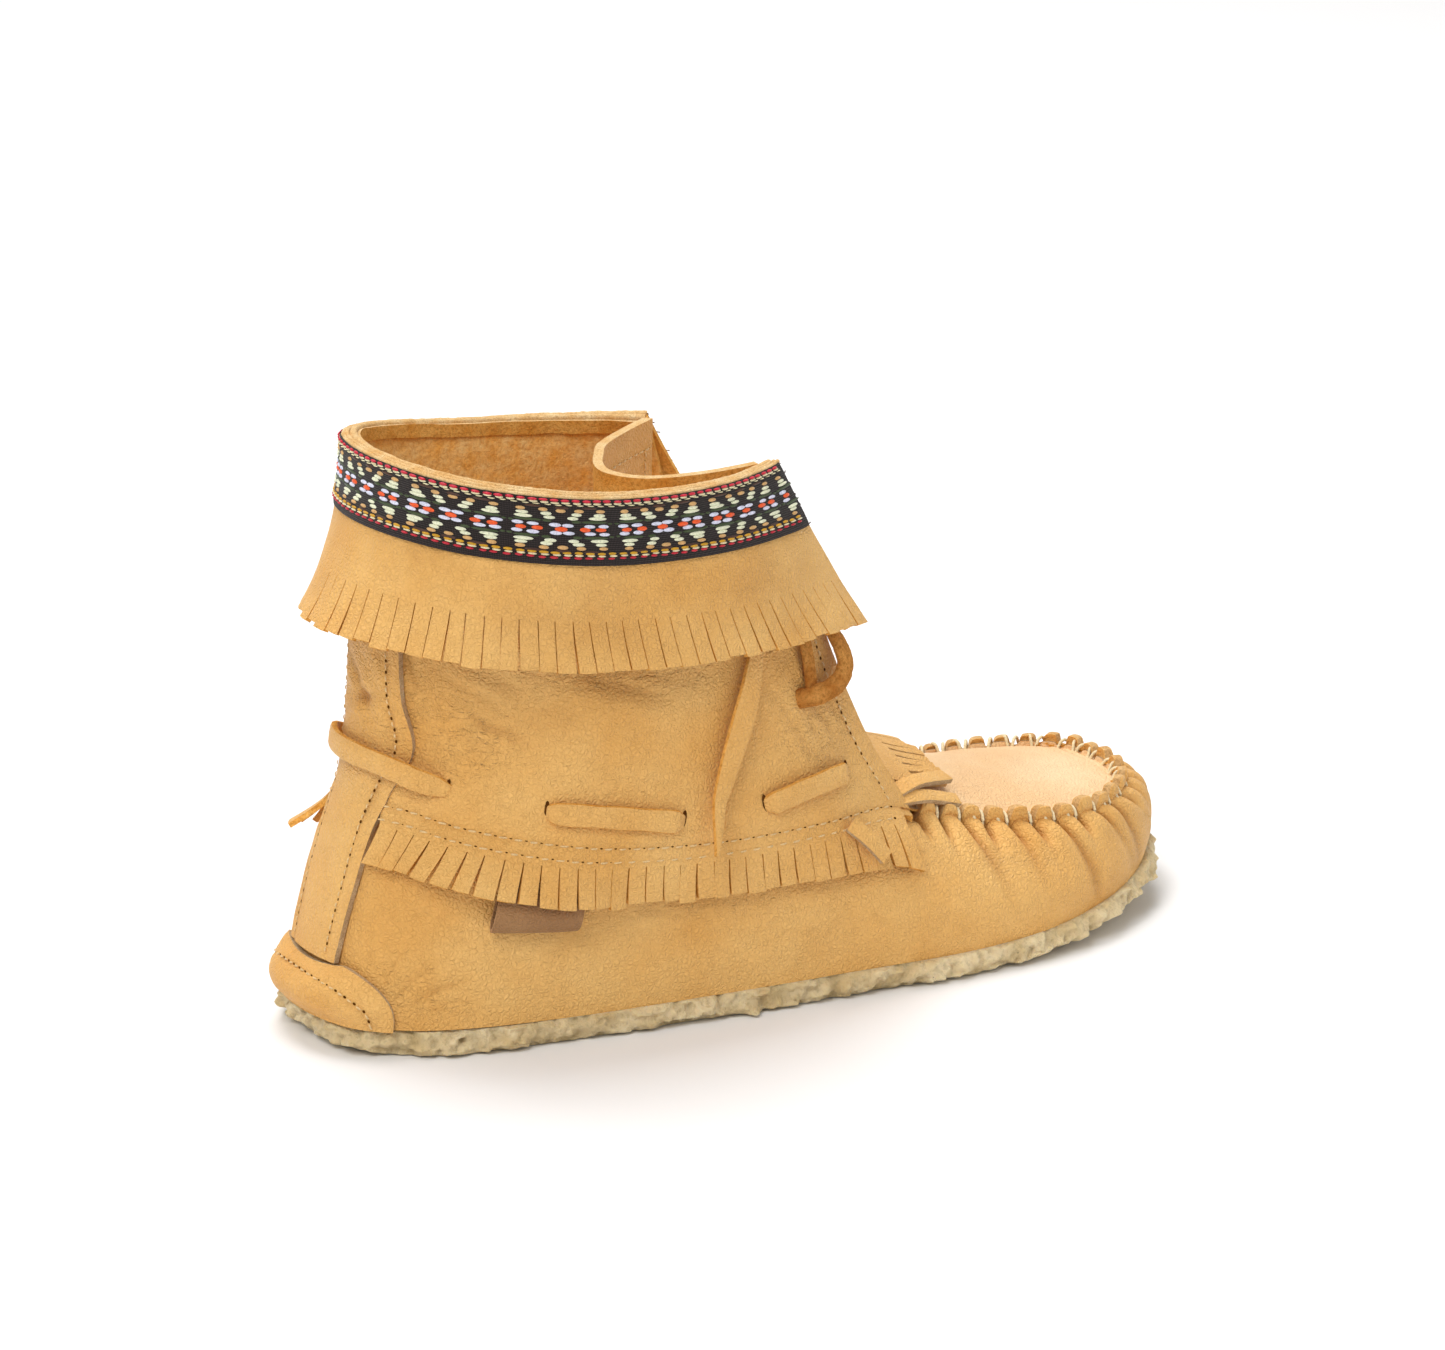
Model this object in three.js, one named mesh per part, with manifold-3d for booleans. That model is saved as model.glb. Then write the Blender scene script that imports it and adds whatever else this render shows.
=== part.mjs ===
import * as THREE from 'three';
import Module from 'manifold-3d';

// Soft-soled moccasin boot for the right foot, with a fringed fold-over cuff.
// Millimetres. +X runs to the toe, +Y to the inner side of the foot, +Z up.
// The origin lies on the floor under the middle of the heel.

// Driving sizes
const LENGTH = 246;            // outsole, back of heel to tip of toe
const BALL_WIDTH = 91;         // outsole at the ball of the foot
const HEEL_REACH = 27;         // origin back to the end of the heel
const SOLE_THICKNESS = 6.5;    // one flat sheet of crepe rubber
const TOE_SPRING = 9;          // lift of the sole's tip off the floor
const HEEL_LIFT = 1.2;         // wear bevel at the back of the heel
const SEAM_HEIGHT = 60.5;      // floor to the shaft seam at the back
const COLLAR_HEIGHT = 146;     // floor to the rim at the back
const LEATHER = 1.8;           // thickness of the upper's leather
const OVERLAY = 1.5;           // thickness of strip, cuff and fringe leather
const BRAID = 0.9;             // thickness of the woven trim
const SOLE_LIP = 1.6;          // sole beyond the foot of the wall
const GAP = 0.35;              // clearance between neighbouring pieces
const INSOLE = 2.4;            // thickness of the insole board
const PUCKER_RISE = 3.4;       // gathered tabs above the apron seam
const PUCKER_DEPTH = 2.6;      // tabs across
const PUCKER_PITCH = 7;        // from one tab to the next
const CUFF_DEPTH = 41.5;       // fold-over cuff, rim to hem
const CUFF_FLARE = 13.5;       // hem away from the shaft, at the back
const CUFF_SLIT = 11.6;        // cut up from the hem
const STRIP_PITCH = 4.6;       // from one fringe strip to the next
const SLIT = 0.55;             // cut between two strips
const BRAID_WIDTH = 16.8;      // woven trim, rim to lower selvedge
const FRINGE_DROP = 14;        // seam to the tips of the side fringe
const STRIP_HALF = 12;         // half the width of the back strip
const TAB_HALF = 25;           // half the width of the heel tab, along the sole
const TAB_HEIGHT = 13.2;       // heel tab above the sole
const TAB_SWELL = 4;           // the tab's thick middle, beyond its leather
const THONG_WIDTH = 5.8;       // leather thong round the ankle
const THONG = 1.9;             // its thickness
const LACE_WIDTH = 5;          // suede lace at the throat
const LACE = 2.2;              // its thickness
const TAG_WIDTH = 20.5;        // folded leather tag under the outer fringe

// turn on the seam where the shaft ends and the apron begins
const THROAT = 105;
// turn of the rim's ring at the flaps' front corners
const RIM_TURN = 140;
// the inner flap ends a little further back
const INNER_REACH = 0.935;

// Shape tables, as shares of the named sizes
// outline of the outsole: half widths at a turn, 0 at the heel, 180 at the toe
const OUTLINE = table('turn outer inner', [
  [0, 0.80, 0.80],
  [15, 0.74, 0.72],
  [30, 0.63, 0.59],
  [60, 0.467, 0.43],
  [90, 0.465, 0.40],
  [110, 0.54, 0.465],
  [125, 0.605, 0.56],
  [145, 0.64, 0.61],
  [165, 0.65, 0.645],
  [180, 0.65, 0.65],
]);

// seam ring on top of the foot wall; rise is a share of SEAM_HEIGHT
const SEAM = table('turn outer inner rise', [
  [0, 0.50, 0.50, 1.0],
  [20, 0.50, 0.50, 0.992],
  [30, 0.55, 0.53, 0.95],
  [50, 0.545, 0.51, 0.862],
  [60, 0.515, 0.475, 0.822],
  [75, 0.478, 0.44, 0.785],
  [90, 0.44, 0.415, 0.765],
  [100, 0.39, 0.375, 0.735],
  [107, 0.355, 0.335, 0.655],
  [115, 0.37, 0.335, 0.575],
  [125, 0.435, 0.38, 0.515],
  [140, 0.545, 0.48, 0.492],
  [155, 0.63, 0.58, 0.492],
  [168, 0.72, 0.69, 0.498],
  [180, 0.75, 0.75, 0.502],
]);

// bulge of the foot wall: flare out at the foot, height of its shoulder
const WALL = table('turn flare shoulder', [
  [0, -0.040, 0.45],
  [60, 0.030, 0.50],
  [90, 0.030, 0.62],
  [120, 0.030, 0.82],
  [150, 0.042, 0.85],
  [180, 0.072, 0.82],
]);

// rim of the collar, read like the other rings; rise is a share of COLLAR_HEIGHT
const COLLAR = table('turn outer inner rise', [
  [0, 0.60, 0.56, 1.0],
  [15, 0.60, 0.56, 0.998],
  [30, 0.567, 0.525, 0.991],
  [50, 0.507, 0.47, 0.975],
  [80, 0.458, 0.418, 0.949],
  [110, 0.438, 0.412, 0.935],
  [128, 0.436, 0.421, 0.932],
  [140, 0.446, 0.429, 0.932],
]);

// inward pull of the ankle, low and high on the shaft
const WAIST = table('share low high', [
  [0, 0.049, 0.016],
  [0.3, 0.055, 0.016],
  [0.6, 0.033, 0.011],
  [1.0, -0.011, 0],
]);

// height of the apron's crown over its seam
const APRON = table('turn crown', [
  [100, 0.130],
  [107, 0.118],
  [120, 0.092],
  [140, 0.055],
  [160, 0.022],
  [180, 0],
]);

// flare of the cuff along the rim, as a share of CUFF_FLARE
const FLARE = table('share out', [
  [0, 1.0],
  [0.2, 0.80],
  [0.5, 0.55],
  [0.8, 0.42],
  [1.0, 0.36],
]);

// depth of the tongue's bellows behind its edges, as a share of BALL_WIDTH
const BELLOWS = table('share back', [
  [0, -0.06],
  [0.15, 0.0],
  [0.4, 0.10],
  [0.7, 0.19],
  [1.0, 0.265],
]);

// half width of the back strip from sole to rim, as a share of STRIP_HALF
const STRIP = table('climb half', [
  [0, 0.92],
  [0.6, 0.97],
  [1.0, 1.0],
  [1.17, 1.34],
  [1.32, 1.1],
  [1.6, 1.05],
  [2.0, 1.05],
]);

// Small helpers
function table(head, body) {
  const names = head.split(' ');
  return body.map((line) => Object.fromEntries(names.map((name, i) => [name, line[i]])));
}

// smooth value of one column, level at both ends of the table
function read(rows, key, column, x) {
  const last = rows.length - 1;
  const t = Math.min(Math.max(x, rows[0][key]), rows[last][key]);
  let i = 0;
  while (i < last - 1 && t > rows[i + 1][key]) i += 1;
  const slope = (k) => (k <= 0 || k >= last ? 0
    : (rows[k + 1][column] - rows[k - 1][column]) / (rows[k + 1][key] - rows[k - 1][key]));
  const h = rows[i + 1][key] - rows[i][key];
  const s = (t - rows[i][key]) / h;
  const a = rows[i][column];
  const b = rows[i + 1][column];
  return (2 * s ** 3 - 3 * s ** 2 + 1) * a + (s ** 3 - 2 * s ** 2 + s) * h * slope(i)
    + (3 * s ** 2 - 2 * s ** 3) * b + (s ** 3 - s ** 2) * h * slope(i + 1);
}

const vec = (x, y, z) => new THREE.Vector3(x, y, z);
const mix = (a, b, t) => a.clone().lerp(b, t);
const clamp = (x, a, b) => Math.min(Math.max(x, a), b);
const steps = (a, b, n) => Array.from({ length: n + 1 }, (_, i) => a + ((b - a) * i) / n);
const mirror = (turn) => (turn <= 180 ? turn : 360 - turn);

// The last: every piece is read from these functions
// the toe swings to the inner side
function swing(x) {
  return 0.055 * BALL_WIDTH * Math.max(0, (x - 0.36 * LENGTH) / (0.52 * LENGTH)) ** 1.6;
}

function floorAt(x) {
  const tip = LENGTH - HEEL_REACH;
  const start = 0.545 * LENGTH;
  const toe = Math.max(0, (x - start) / (tip - start));
  const heel = Math.max(0, (-0.28 * HEEL_REACH - x) / (0.72 * HEEL_REACH));
  return TOE_SPRING * toe ** 1.9 + HEEL_LIFT * heel ** 2;
}

function ring(turn, back, front, rows, inset = 0) {
  const phi = mirror(turn);
  const side = turn <= 180 ? -1 : 1;
  const column = side < 0 ? 'outer' : 'inner';
  const angle = THREE.MathUtils.degToRad(phi);
  const x = back + inset + ((front - back - 2 * inset) * (1 - Math.cos(angle))) / 2;
  const half = Math.sin(angle) * read(rows, 'turn', column, phi);
  return vec(x, side * half * (BALL_WIDTH - 2 * inset) + swing(x), 0);
}

function soleRing(turn, inset, up) {
  const p = ring(turn, -HEEL_REACH, LENGTH - HEEL_REACH, OUTLINE, inset);
  p.z = floorAt(p.x) + up;
  return p;
}

const seamBack = -0.046 * LENGTH;
const seamFront = LENGTH - HEEL_REACH - 0.037 * LENGTH;
const rimBack = -0.019 * LENGTH;
const rimFront = 0.4275 * LENGTH;

function seamRing(turn) {
  const p = ring(turn, seamBack, seamFront, SEAM);
  p.z = SEAM_HEIGHT * read(SEAM, 'turn', 'rise', mirror(turn));
  return p;
}

// level direction pointing out of the shoe
function outward(turn) {
  const a = soleRing(((turn - 0.5) + 360) % 360, SOLE_LIP, 0);
  const b = soleRing((turn + 0.5) % 360, SOLE_LIP, 0);
  return vec(a.y - b.y, b.x - a.x, 0).normalize().negate();
}

// foot wall, v = 0 at the sole, 1 at the seam
function wallAt(turn, v) {
  const t = ((turn % 360) + 360) % 360;
  const foot = soleRing(t, SOLE_LIP, SOLE_THICKNESS + GAP);
  const top = seamRing(t);
  const flare = BALL_WIDTH * read(WALL, 'turn', 'flare', mirror(t));
  const shoulder = foot.clone().addScaledVector(outward(t), flare);
  shoulder.z = foot.z + (top.z - foot.z) * read(WALL, 'turn', 'shoulder', mirror(t));
  return foot.multiplyScalar((1 - v) ** 2)
    .addScaledVector(shoulder, 2 * v * (1 - v)).addScaledVector(top, v * v);
}

// share runs from -1 (front corner, inner flap) over 0 (back) to 1 (outer flap)
function rimAt(share) {
  const turn = Math.abs(share) * RIM_TURN;
  const reach = share < 0 ? INNER_REACH : 1;
  const p = ring(share < 0 ? 360 - turn : turn, rimBack, rimBack + (rimFront - rimBack) * reach, COLLAR);
  p.z = COLLAR_HEIGHT * read(COLLAR, 'turn', 'rise', turn);
  return p;
}

// shaft, v = 0 at the seam, 1 at the rim; it runs on in a straight line past a flap's edge
function shaftAt(share, v) {
  const s = clamp(share, -1, 1);
  const past = share - s;
  if (past !== 0) {
    const edge = shaftAt(s, v);
    const before = shaftAt(s - Math.sign(past) * 0.02, v);
    return edge.clone().addScaledVector(edge.clone().sub(before), Math.abs(past) / 0.02);
  }
  const turn = s >= 0 ? s * THROAT : 360 + s * THROAT;
  const foot = seamRing(turn);
  const top = rimAt(s);
  const out = outward(turn % 360);
  const pull = (column) => -BALL_WIDTH * read(WAIST, 'share', column, Math.abs(s));
  const low = mix(foot, top, 1 / 3).addScaledVector(out, pull('low'));
  const high = mix(foot, top, 2 / 3).addScaledVector(out, pull('high'));
  const u = 1 - v;
  return foot.multiplyScalar(u ** 3).addScaledVector(low, 3 * v * u * u)
    .addScaledVector(high, 3 * v * v * u).addScaledVector(top, v ** 3);
}

// apron on top of the foot, w = -1 at the outer seam, 1 at the inner one
function apronAt(turn, w) {
  const p = mix(seamRing(turn), seamRing(360 - turn), (1 + w) / 2);
  p.z += BALL_WIDTH * read(APRON, 'turn', 'crown', turn) * (1 - w * w);
  return p;
}

// back of the boot in one run: climb 0..1 on the wall, 1..2 on the shaft
function backAt(turn, climb) {
  return climb <= 1 ? wallAt(turn, climb) : shaftAt(turn / THROAT, climb - 1);
}

function normalOf(f, u, v, du, dv) {
  const a = f(u + du, v).sub(f(u - du, v));
  const b = f(u, v + dv).sub(f(u, v - dv));
  return a.cross(b).normalize();
}

function shaftNormal(share, v) {
  return normalOf(shaftAt, share, clamp(v, 0.02, 0.98), 0.01, 0.02);
}

function onShaft(share, v, out) {
  return shaftAt(share, v).addScaledVector(shaftNormal(share, v), out);
}

function onWall(turn, v, out) {
  const w = clamp(v, 0.02, 0.98);
  return wallAt(turn, v).addScaledVector(normalOf(wallAt, turn, w, 0.5, 0.02), out);
}

// Solids
// A sheet of leather: a surface given by points and faces is thickened
// between two offsets along its own normals and closed round its edges.
function sheet(points, faces, outer, inner) {
  const tris = [];
  for (const f of faces) {
    tris.push([f[0], f[1], f[2]]);
    if (f.length === 4) tris.push([f[0], f[2], f[3]]);
  }
  const sums = points.map(() => vec(0, 0, 0));
  const own = points.map(() => []);
  for (const t of tris) {
    const n = points[t[1]].clone().sub(points[t[0]]).cross(points[t[2]].clone().sub(points[t[0]]));
    const unit = n.clone().normalize();
    for (const i of t) {
      sums[i].add(n);
      own[i].push(unit);
    }
  }
  const normals = sums.map((s, i) => {
    const n = s.normalize();
    const lean = own[i].reduce((a, m) => a + m.dot(n), 0) / Math.max(1, own[i].length);
    return n.divideScalar(clamp(lean, 0.8, 1));
  });
  const at = (offset, i) => (typeof offset === 'function' ? offset(i) : offset);
  const count = points.length;
  const verts = [];
  points.forEach((p, i) => verts.push(p.clone().addScaledVector(normals[i], at(outer, i))));
  points.forEach((p, i) => verts.push(p.clone().addScaledVector(normals[i], at(inner, i))));
  const out = [];
  const edges = new Map();
  for (const [a, b, c] of tris) {
    out.push([a, b, c], [a + count, c + count, b + count]);
    for (const [p, q] of [[a, b], [b, c], [c, a]]) {
      if (!edges.delete(`${q} ${p}`)) edges.set(`${p} ${q}`, [p, q]);
    }
  }
  for (const [p, q] of edges.values()) {
    out.push([q, p, p + count], [q, p + count, q + count]);
  }
  return body(verts, out);
}

function body(verts, tris) {
  const geometry = new THREE.BufferGeometry();
  const flat = verts.flatMap((p) => [p.x, p.y, p.z]);
  geometry.setAttribute('position', new THREE.Float32BufferAttribute(flat, 3));
  geometry.setIndex(tris.flat());
  return geometry;
}

// grid of points in rows; skip(i, j) leaves a cell out
function grid(columns, rows, f, skip = () => false) {
  const points = [];
  const faces = [];
  for (const r of rows) {
    for (const c of columns) points.push(f(c, r));
  }
  const n = columns.length;
  for (let j = 0; j < rows.length - 1; j += 1) {
    for (let i = 0; i < n - 1; i += 1) {
      const a = j * n + i;
      if (!skip(i, j)) faces.push([a, a + 1, a + 1 + n, a + n]);
    }
  }
  return trim(points, faces);
}

// keep only the points that a face uses
function trim(points, faces) {
  const renamed = new Map();
  const kept = [];
  const rename = (i) => {
    if (!renamed.has(i)) {
      renamed.set(i, kept.length);
      kept.push(points[i]);
    }
    return renamed.get(i);
  };
  return { points: kept, faces: faces.map((f) => f.map(rename)) };
}

function sheetFrom(columns, rows, f, outer, inner, skip) {
  const g = grid(columns, rows, f, skip);
  return sheet(g.points, g.faces, outer, inner);
}

// columns of a comb: a strip, a slit, a strip and so on, in equal lengths
function combColumns(from, to, lengthOf) {
  const marks = steps(from, to, 400);
  const run = [0];
  for (let i = 1; i < marks.length; i += 1) run.push(run[i - 1] + lengthOf(marks[i - 1], marks[i]));
  const count = Math.max(2, Math.round(run[run.length - 1] / STRIP_PITCH));
  const place = (share) => {
    const goal = share * run[run.length - 1];
    let i = 1;
    while (i < run.length - 1 && run[i] < goal) i += 1;
    return marks[i - 1] + ((marks[i] - marks[i - 1]) * (goal - run[i - 1])) / (run[i] - run[i - 1]);
  };
  const half = SLIT / 2 / run[run.length - 1];
  const columns = [];
  for (let k = 0; k < count; k += 1) {
    columns.push(place(k / count + (k ? half : 0)), place((k + 1) / count - (k < count - 1 ? half : 0)));
  }
  return columns;
}

// a flat strap along a path: wide along `across`, thick along `out`
function strap(path, width, thickness) {
  const verts = [];
  const tris = [];
  for (const { point, across, out, scale = 1 } of path) {
    for (const [a, b] of [[-1, 0], [1, 0], [1, 1], [-1, 1]]) {
      const side = point.clone().addScaledVector(across, (a * width * scale) / 2);
      verts.push(side.addScaledVector(out, b * thickness));
    }
  }
  const n = path.length;
  for (let i = 0; i < n - 1; i += 1) {
    for (let k = 0; k < 4; k += 1) {
      const a = 4 * i + k;
      const b = 4 * i + ((k + 1) % 4);
      tris.push([a, b, b + 4], [a, b + 4, a + 4]);
    }
  }
  tris.push([0, 2, 1], [0, 3, 2]);
  const e = 4 * (n - 1);
  tris.push([e, e + 1, e + 2], [e, e + 2, e + 3]);
  return outside(body(verts, tris));
}

// turn a closed body's faces outwards if they point in
function outside(geometry) {
  const p = geometry.attributes.position;
  const index = geometry.index.array;
  let volume = 0;
  for (let i = 0; i < index.length; i += 3) {
    const [a, b, c] = [0, 1, 2].map((k) => vec(0, 0, 0).fromBufferAttribute(p, index[i + k]));
    volume += a.dot(b.cross(c));
  }
  if (volume < 0) {
    for (let i = 0; i < index.length; i += 3) {
      [index[i + 1], index[i + 2]] = [index[i + 2], index[i + 1]];
    }
  }
  return geometry;
}

// Outsole and insole
const TURNS = [0, 6, 12, 18, 26, 34, 43, 52, 61, 70, 79, 88, 97, THROAT, 110, 116, 122, 128, 134,
  140, 146, 152, 158, 163, 168, 172, 176, 180];
const RING = [...TURNS, ...TURNS.slice(1, -1).reverse().map((t) => 360 - t)];

// a plate between stacked outlines, capped by fans between its two sides
function plate(layers) {
  const n = RING.length;
  const verts = layers.flatMap(({ inset, up }) => RING.map((t) => soleRing(t, inset, up)));
  const tris = [];
  for (let k = 0; k < layers.length - 1; k += 1) {
    for (let i = 0; i < n; i += 1) {
      const j = (i + 1) % n;
      const a = k * n;
      tris.push([a + i, a + j, a + n + j], [a + i, a + n + j, a + n + i]);
    }
  }
  const top = (layers.length - 1) * n;
  for (let i = 0; i < TURNS.length - 1; i += 1) {
    const [a, b] = [i, i + 1];
    const [c, d] = [(n - i) % n, (n - i - 1) % n];
    for (const [base, flip] of [[0, true], [top, false]]) {
      const quads = [];
      if (a !== c) quads.push([base + a, base + b, base + c]);
      if (b !== d) quads.push([base + b, base + d, base + c]);
      for (const q of quads) tris.push(flip ? [q[0], q[2], q[1]] : q);
    }
  }
  return outside(body(verts, tris));
}

const outsole = plate([
  { inset: 1.4, up: 0 },
  { inset: 0.3, up: 0.3 * SOLE_THICKNESS },
  { inset: 0, up: 0.7 * SOLE_THICKNESS },
  { inset: 0.5, up: SOLE_THICKNESS },
]);

const insoleInset = SOLE_LIP + LEATHER + 3 * GAP;
const insole = plate([
  { inset: insoleInset, up: SOLE_THICKNESS + GAP },
  { inset: insoleInset, up: SOLE_THICKNESS + GAP + INSOLE },
]);

// Upper: wall, apron and shaft share their points along the seam
const points = [];
const faces = [];
const WALL_ROWS = steps(0, 1, 5);
const SHAFT_ROWS = steps(0, 1, 8);
const n = RING.length;
for (const v of WALL_ROWS) {
  for (const t of RING) points.push(wallAt(t, v));
}
for (let j = 0; j < WALL_ROWS.length - 1; j += 1) {
  for (let i = 0; i < n; i += 1) {
    const k = (i + 1) % n;
    faces.push([j * n + i, j * n + k, (j + 1) * n + k, (j + 1) * n + i]);
  }
}
const seamRow = (WALL_ROWS.length - 1) * n;
const corner = TURNS.indexOf(THROAT);
const shaftColumns = [...steps(-corner, corner, 2 * corner)].map((i) => (i + n) % n);
let below = shaftColumns.map((i) => seamRow + i);
for (const v of SHAFT_ROWS.slice(1)) {
  const above = shaftColumns.map((i) => {
    const turn = RING[i] <= 180 ? RING[i] : RING[i] - 360;
    points.push(shaftAt(turn / THROAT, v));
    return points.length - 1;
  });
  for (let i = 0; i < above.length - 1; i += 1) {
    faces.push([below[i], below[i + 1], above[i + 1], above[i]]);
  }
  below = above;
}
const ACROSS = steps(-1, 1, 8);
let station = null;
for (let i = corner; i < TURNS.length; i += 1) {
  const next = ACROSS.map((w, k) => {
    if (i === TURNS.length - 1) return seamRow + i;
    if (k === 0) return seamRow + i;
    if (k === ACROSS.length - 1) return seamRow + n - i;
    points.push(apronAt(TURNS[i], w));
    return points.length - 1;
  });
  if (station) {
    for (let k = 0; k < ACROSS.length - 1; k += 1) {
      const quad = [station[k], next[k], next[k + 1], station[k + 1]];
      const unlike = quad.filter((p, m) => quad.indexOf(p) === m);
      if (unlike.length > 2) faces.push(unlike);
    }
  }
  station = next;
}
const shell = sheet(points, faces, 0, -LEATHER);

// gathered tabs standing round the apron, one scalloped rib
const ribStations = [];
{
  const marks = steps(THROAT + 2.5, 360 - THROAT - 2.5, 600);
  let run = 0;
  let next = 0;
  const phases = [[0, 0.3], [0.26, 1], [0.76, 1]];
  for (let i = 0; i < marks.length; i += 1) {
    if (i) run += seamRing(marks[i]).distanceTo(seamRing(marks[i - 1]));
    const [phase, height] = phases[next % phases.length];
    const goal = (Math.floor(next / phases.length) + phase) * PUCKER_PITCH;
    if (run >= goal) {
      ribStations.push({ turn: marks[i], height });
      next += 1;
    }
  }
}
const ribPath = ribStations.map(({ turn, height }) => {
  const across = outward(turn);
  return { point: seamRing(turn).addScaledVector(across, 0.4 - PUCKER_DEPTH / 2), across, height };
});

function rib(path) {
  const verts = [];
  const tris = [];
  for (const { point, across, height } of path) {
    const top = PUCKER_RISE * height;
    const wide = PUCKER_DEPTH * (0.4 + 0.1 * height);
    for (const [a, z] of [[-0.9, -1.3], [0.9, -1.3], [0.9, top], [-0.8, top]]) {
      verts.push(point.clone().addScaledVector(across, a * wide).add(vec(0, 0, z)));
    }
  }
  const m = 4;
  for (let i = 0; i < path.length - 1; i += 1) {
    for (let k = 0; k < m; k += 1) {
      const a = m * i + k;
      const b = m * i + ((k + 1) % m);
      tris.push([a, b, b + m], [a, b + m, a + m]);
    }
  }
  const e = m * (path.length - 1);
  tris.push([0, 2, 1], [0, 3, 2]);
  tris.push([e, e + 1, e + 2], [e, e + 2, e + 3]);
  return outside(body(verts, tris));
}

const wasm = await Module();
wasm.setup();

function toManifold(geometry) {
  const mesh = new wasm.Mesh({
    numProp: 3,
    vertProperties: new Float32Array(geometry.attributes.position.array),
    triVerts: new Uint32Array(geometry.index.array),
  });
  return new wasm.Manifold(mesh);
}

function fromManifold(solid) {
  const mesh = solid.getMesh();
  const geometry = new THREE.BufferGeometry();
  const flat = [];
  for (let i = 0; i < mesh.numVert; i += 1) {
    flat.push(...mesh.vertProperties.slice(i * mesh.numProp, i * mesh.numProp + 3));
  }
  geometry.setAttribute('position', new THREE.Float32BufferAttribute(flat, 3));
  geometry.setIndex(Array.from(mesh.triVerts));
  return geometry;
}

const upper = fromManifold(toManifold(shell).add(toManifold(rib(ribPath))));

// Tongue: bellows between the flaps, its lower end lies on the apron as a fringe
const TONGUE = LEATHER;
const tongueIn = -(LEATHER + 2 * GAP + TONGUE / 2);
const TONGUE_ROWS = [-3, -2, -1, 0.12, 0.26, 0.44, 0.64, 0.83, 0.985];
const apronTurns = { '-3': THROAT + 10.5, '-2': THROAT + 5, '-1': THROAT + 0.5 };
const apronHalves = { '-3': 0.66, '-2': 0.74, '-1': 0.78 };

function tongueAt(w, row) {
  if (row < 0) {
    const turn = apronTurns[row];
    const p = apronAt(turn, w * apronHalves[row]);
    const up = normalOf(apronAt, turn, w * apronHalves[row], 0.5, 0.05);
    return p.addScaledVector(up.z < 0 ? up.negate() : up, 1.6 * GAP + TONGUE / 2);
  }
  const outer = onShaft(0.955, row, tongueIn);
  const inner = onShaft(-0.955, row, tongueIn);
  const p = mix(outer, inner, (1 + w) / 2);
  const swell = 1 - Math.abs(w) ** 3.2;
  p.x -= BALL_WIDTH * read(BELLOWS, 'share', 'back', row) * swell;
  p.z += 0.12 * BALL_WIDTH * Math.max(0, 0.3 - row) / 0.3 * swell;
  return p;
}

const TONGUE_STRIPS = 11;
const tongueColumns = [];
for (let k = 0; k < TONGUE_STRIPS; k += 1) {
  tongueColumns.push(-1 + (2 * k + (k ? 0.12 : 0)) / TONGUE_STRIPS);
  tongueColumns.push(-1 + (2 * (k + 1) - (k < TONGUE_STRIPS - 1 ? 0.12 : 0)) / TONGUE_STRIPS);
}
const tongue = sheetFrom(tongueColumns, TONGUE_ROWS, tongueAt, TONGUE / 2, -TONGUE / 2,
  (i, j) => j === 0 && i % 2 === 1);

// Cuff: folded over the rim, cut into strips at the hem
function cuffAt(share, depth, out = 0) {
  const stretch = 1 + 0.045 * depth;
  const longer = 1 + 0.06 * Math.abs(share) ** 6;
  const fall = (longer * CUFF_DEPTH) / (shaftAt(share, 1).z - shaftAt(share, 0).z);
  const flare = CUFF_FLARE * read(FLARE, 'share', 'out', Math.abs(share)) * depth ** 1.8;
  return onShaft(share * stretch, 1 - fall * depth, GAP + flare + out);
}

const cuffEnd = 0.995;
const cuffColumns = combColumns(-cuffEnd, cuffEnd, (a, b) => cuffAt(a, 1).distanceTo(cuffAt(b, 1)));
const slitDepth = 1 - CUFF_SLIT / CUFF_DEPTH;
const braidDepth = BRAID_WIDTH / CUFF_DEPTH;
const cuff = sheetFrom(cuffColumns, [1, slitDepth, braidDepth, 0.005], cuffAt, OVERLAY, 0,
  (i, j) => j === 0 && i % 2 === 1);

const braid = sheetFrom(steps(-0.985, 0.985, 66), [braidDepth, 0.005],
  (s, d) => cuffAt(s, d, OVERLAY + 1.3 * GAP), BRAID, 0);

// Back strip and heel tab
const stripColumns = steps(-1, 1, 8);
const stripOut = 1.6 * GAP;
const stripRows = [0.33, 0.55, 0.75, 0.92, 1.0, 1.08, 1.17, 1.3, 1.45, 1.6];
const stripTurn = (climb, y) => {
  const goal = y * STRIP_HALF * read(STRIP, 'climb', 'half', climb);
  let a = -60;
  let b = 60;
  for (let k = 0; k < 30; k += 1) {
    const m = (a + b) / 2;
    if (-backAt(m, climb).y < goal) a = m;
    else b = m;
  }
  return (a + b) / 2;
};

function stripAt(y, climb) {
  return backAt(stripTurn(climb, y), climb);
}

const backStrip = sheetFrom(stripColumns, stripRows, stripAt, stripOut + OVERLAY, stripOut);

const tabFoot = 0.06;
const tabRows = steps(0, 1, 5);

function tabAt(u, r) {
  const reach = TAB_HALF * Math.max(0.05, 1 - (0.93 * r) ** 2) ** 0.42;
  const foot = soleRing(0, SOLE_LIP, SOLE_THICKNESS).z;
  const wallHeight = SEAM_HEIGHT - foot;
  const v = tabFoot + (r * TAB_HEIGHT) / wallHeight;
  let a = -70;
  let b = 70;
  for (let k = 0; k < 30; k += 1) {
    const m = (a + b) / 2;
    if (-wallAt(m, v).y < u * reach) a = m;
    else b = m;
  }
  return wallAt((a + b) / 2, v);
}

const tabOut = 1.6 * GAP;
const tabColumns = steps(-1, 1, 12);

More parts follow.
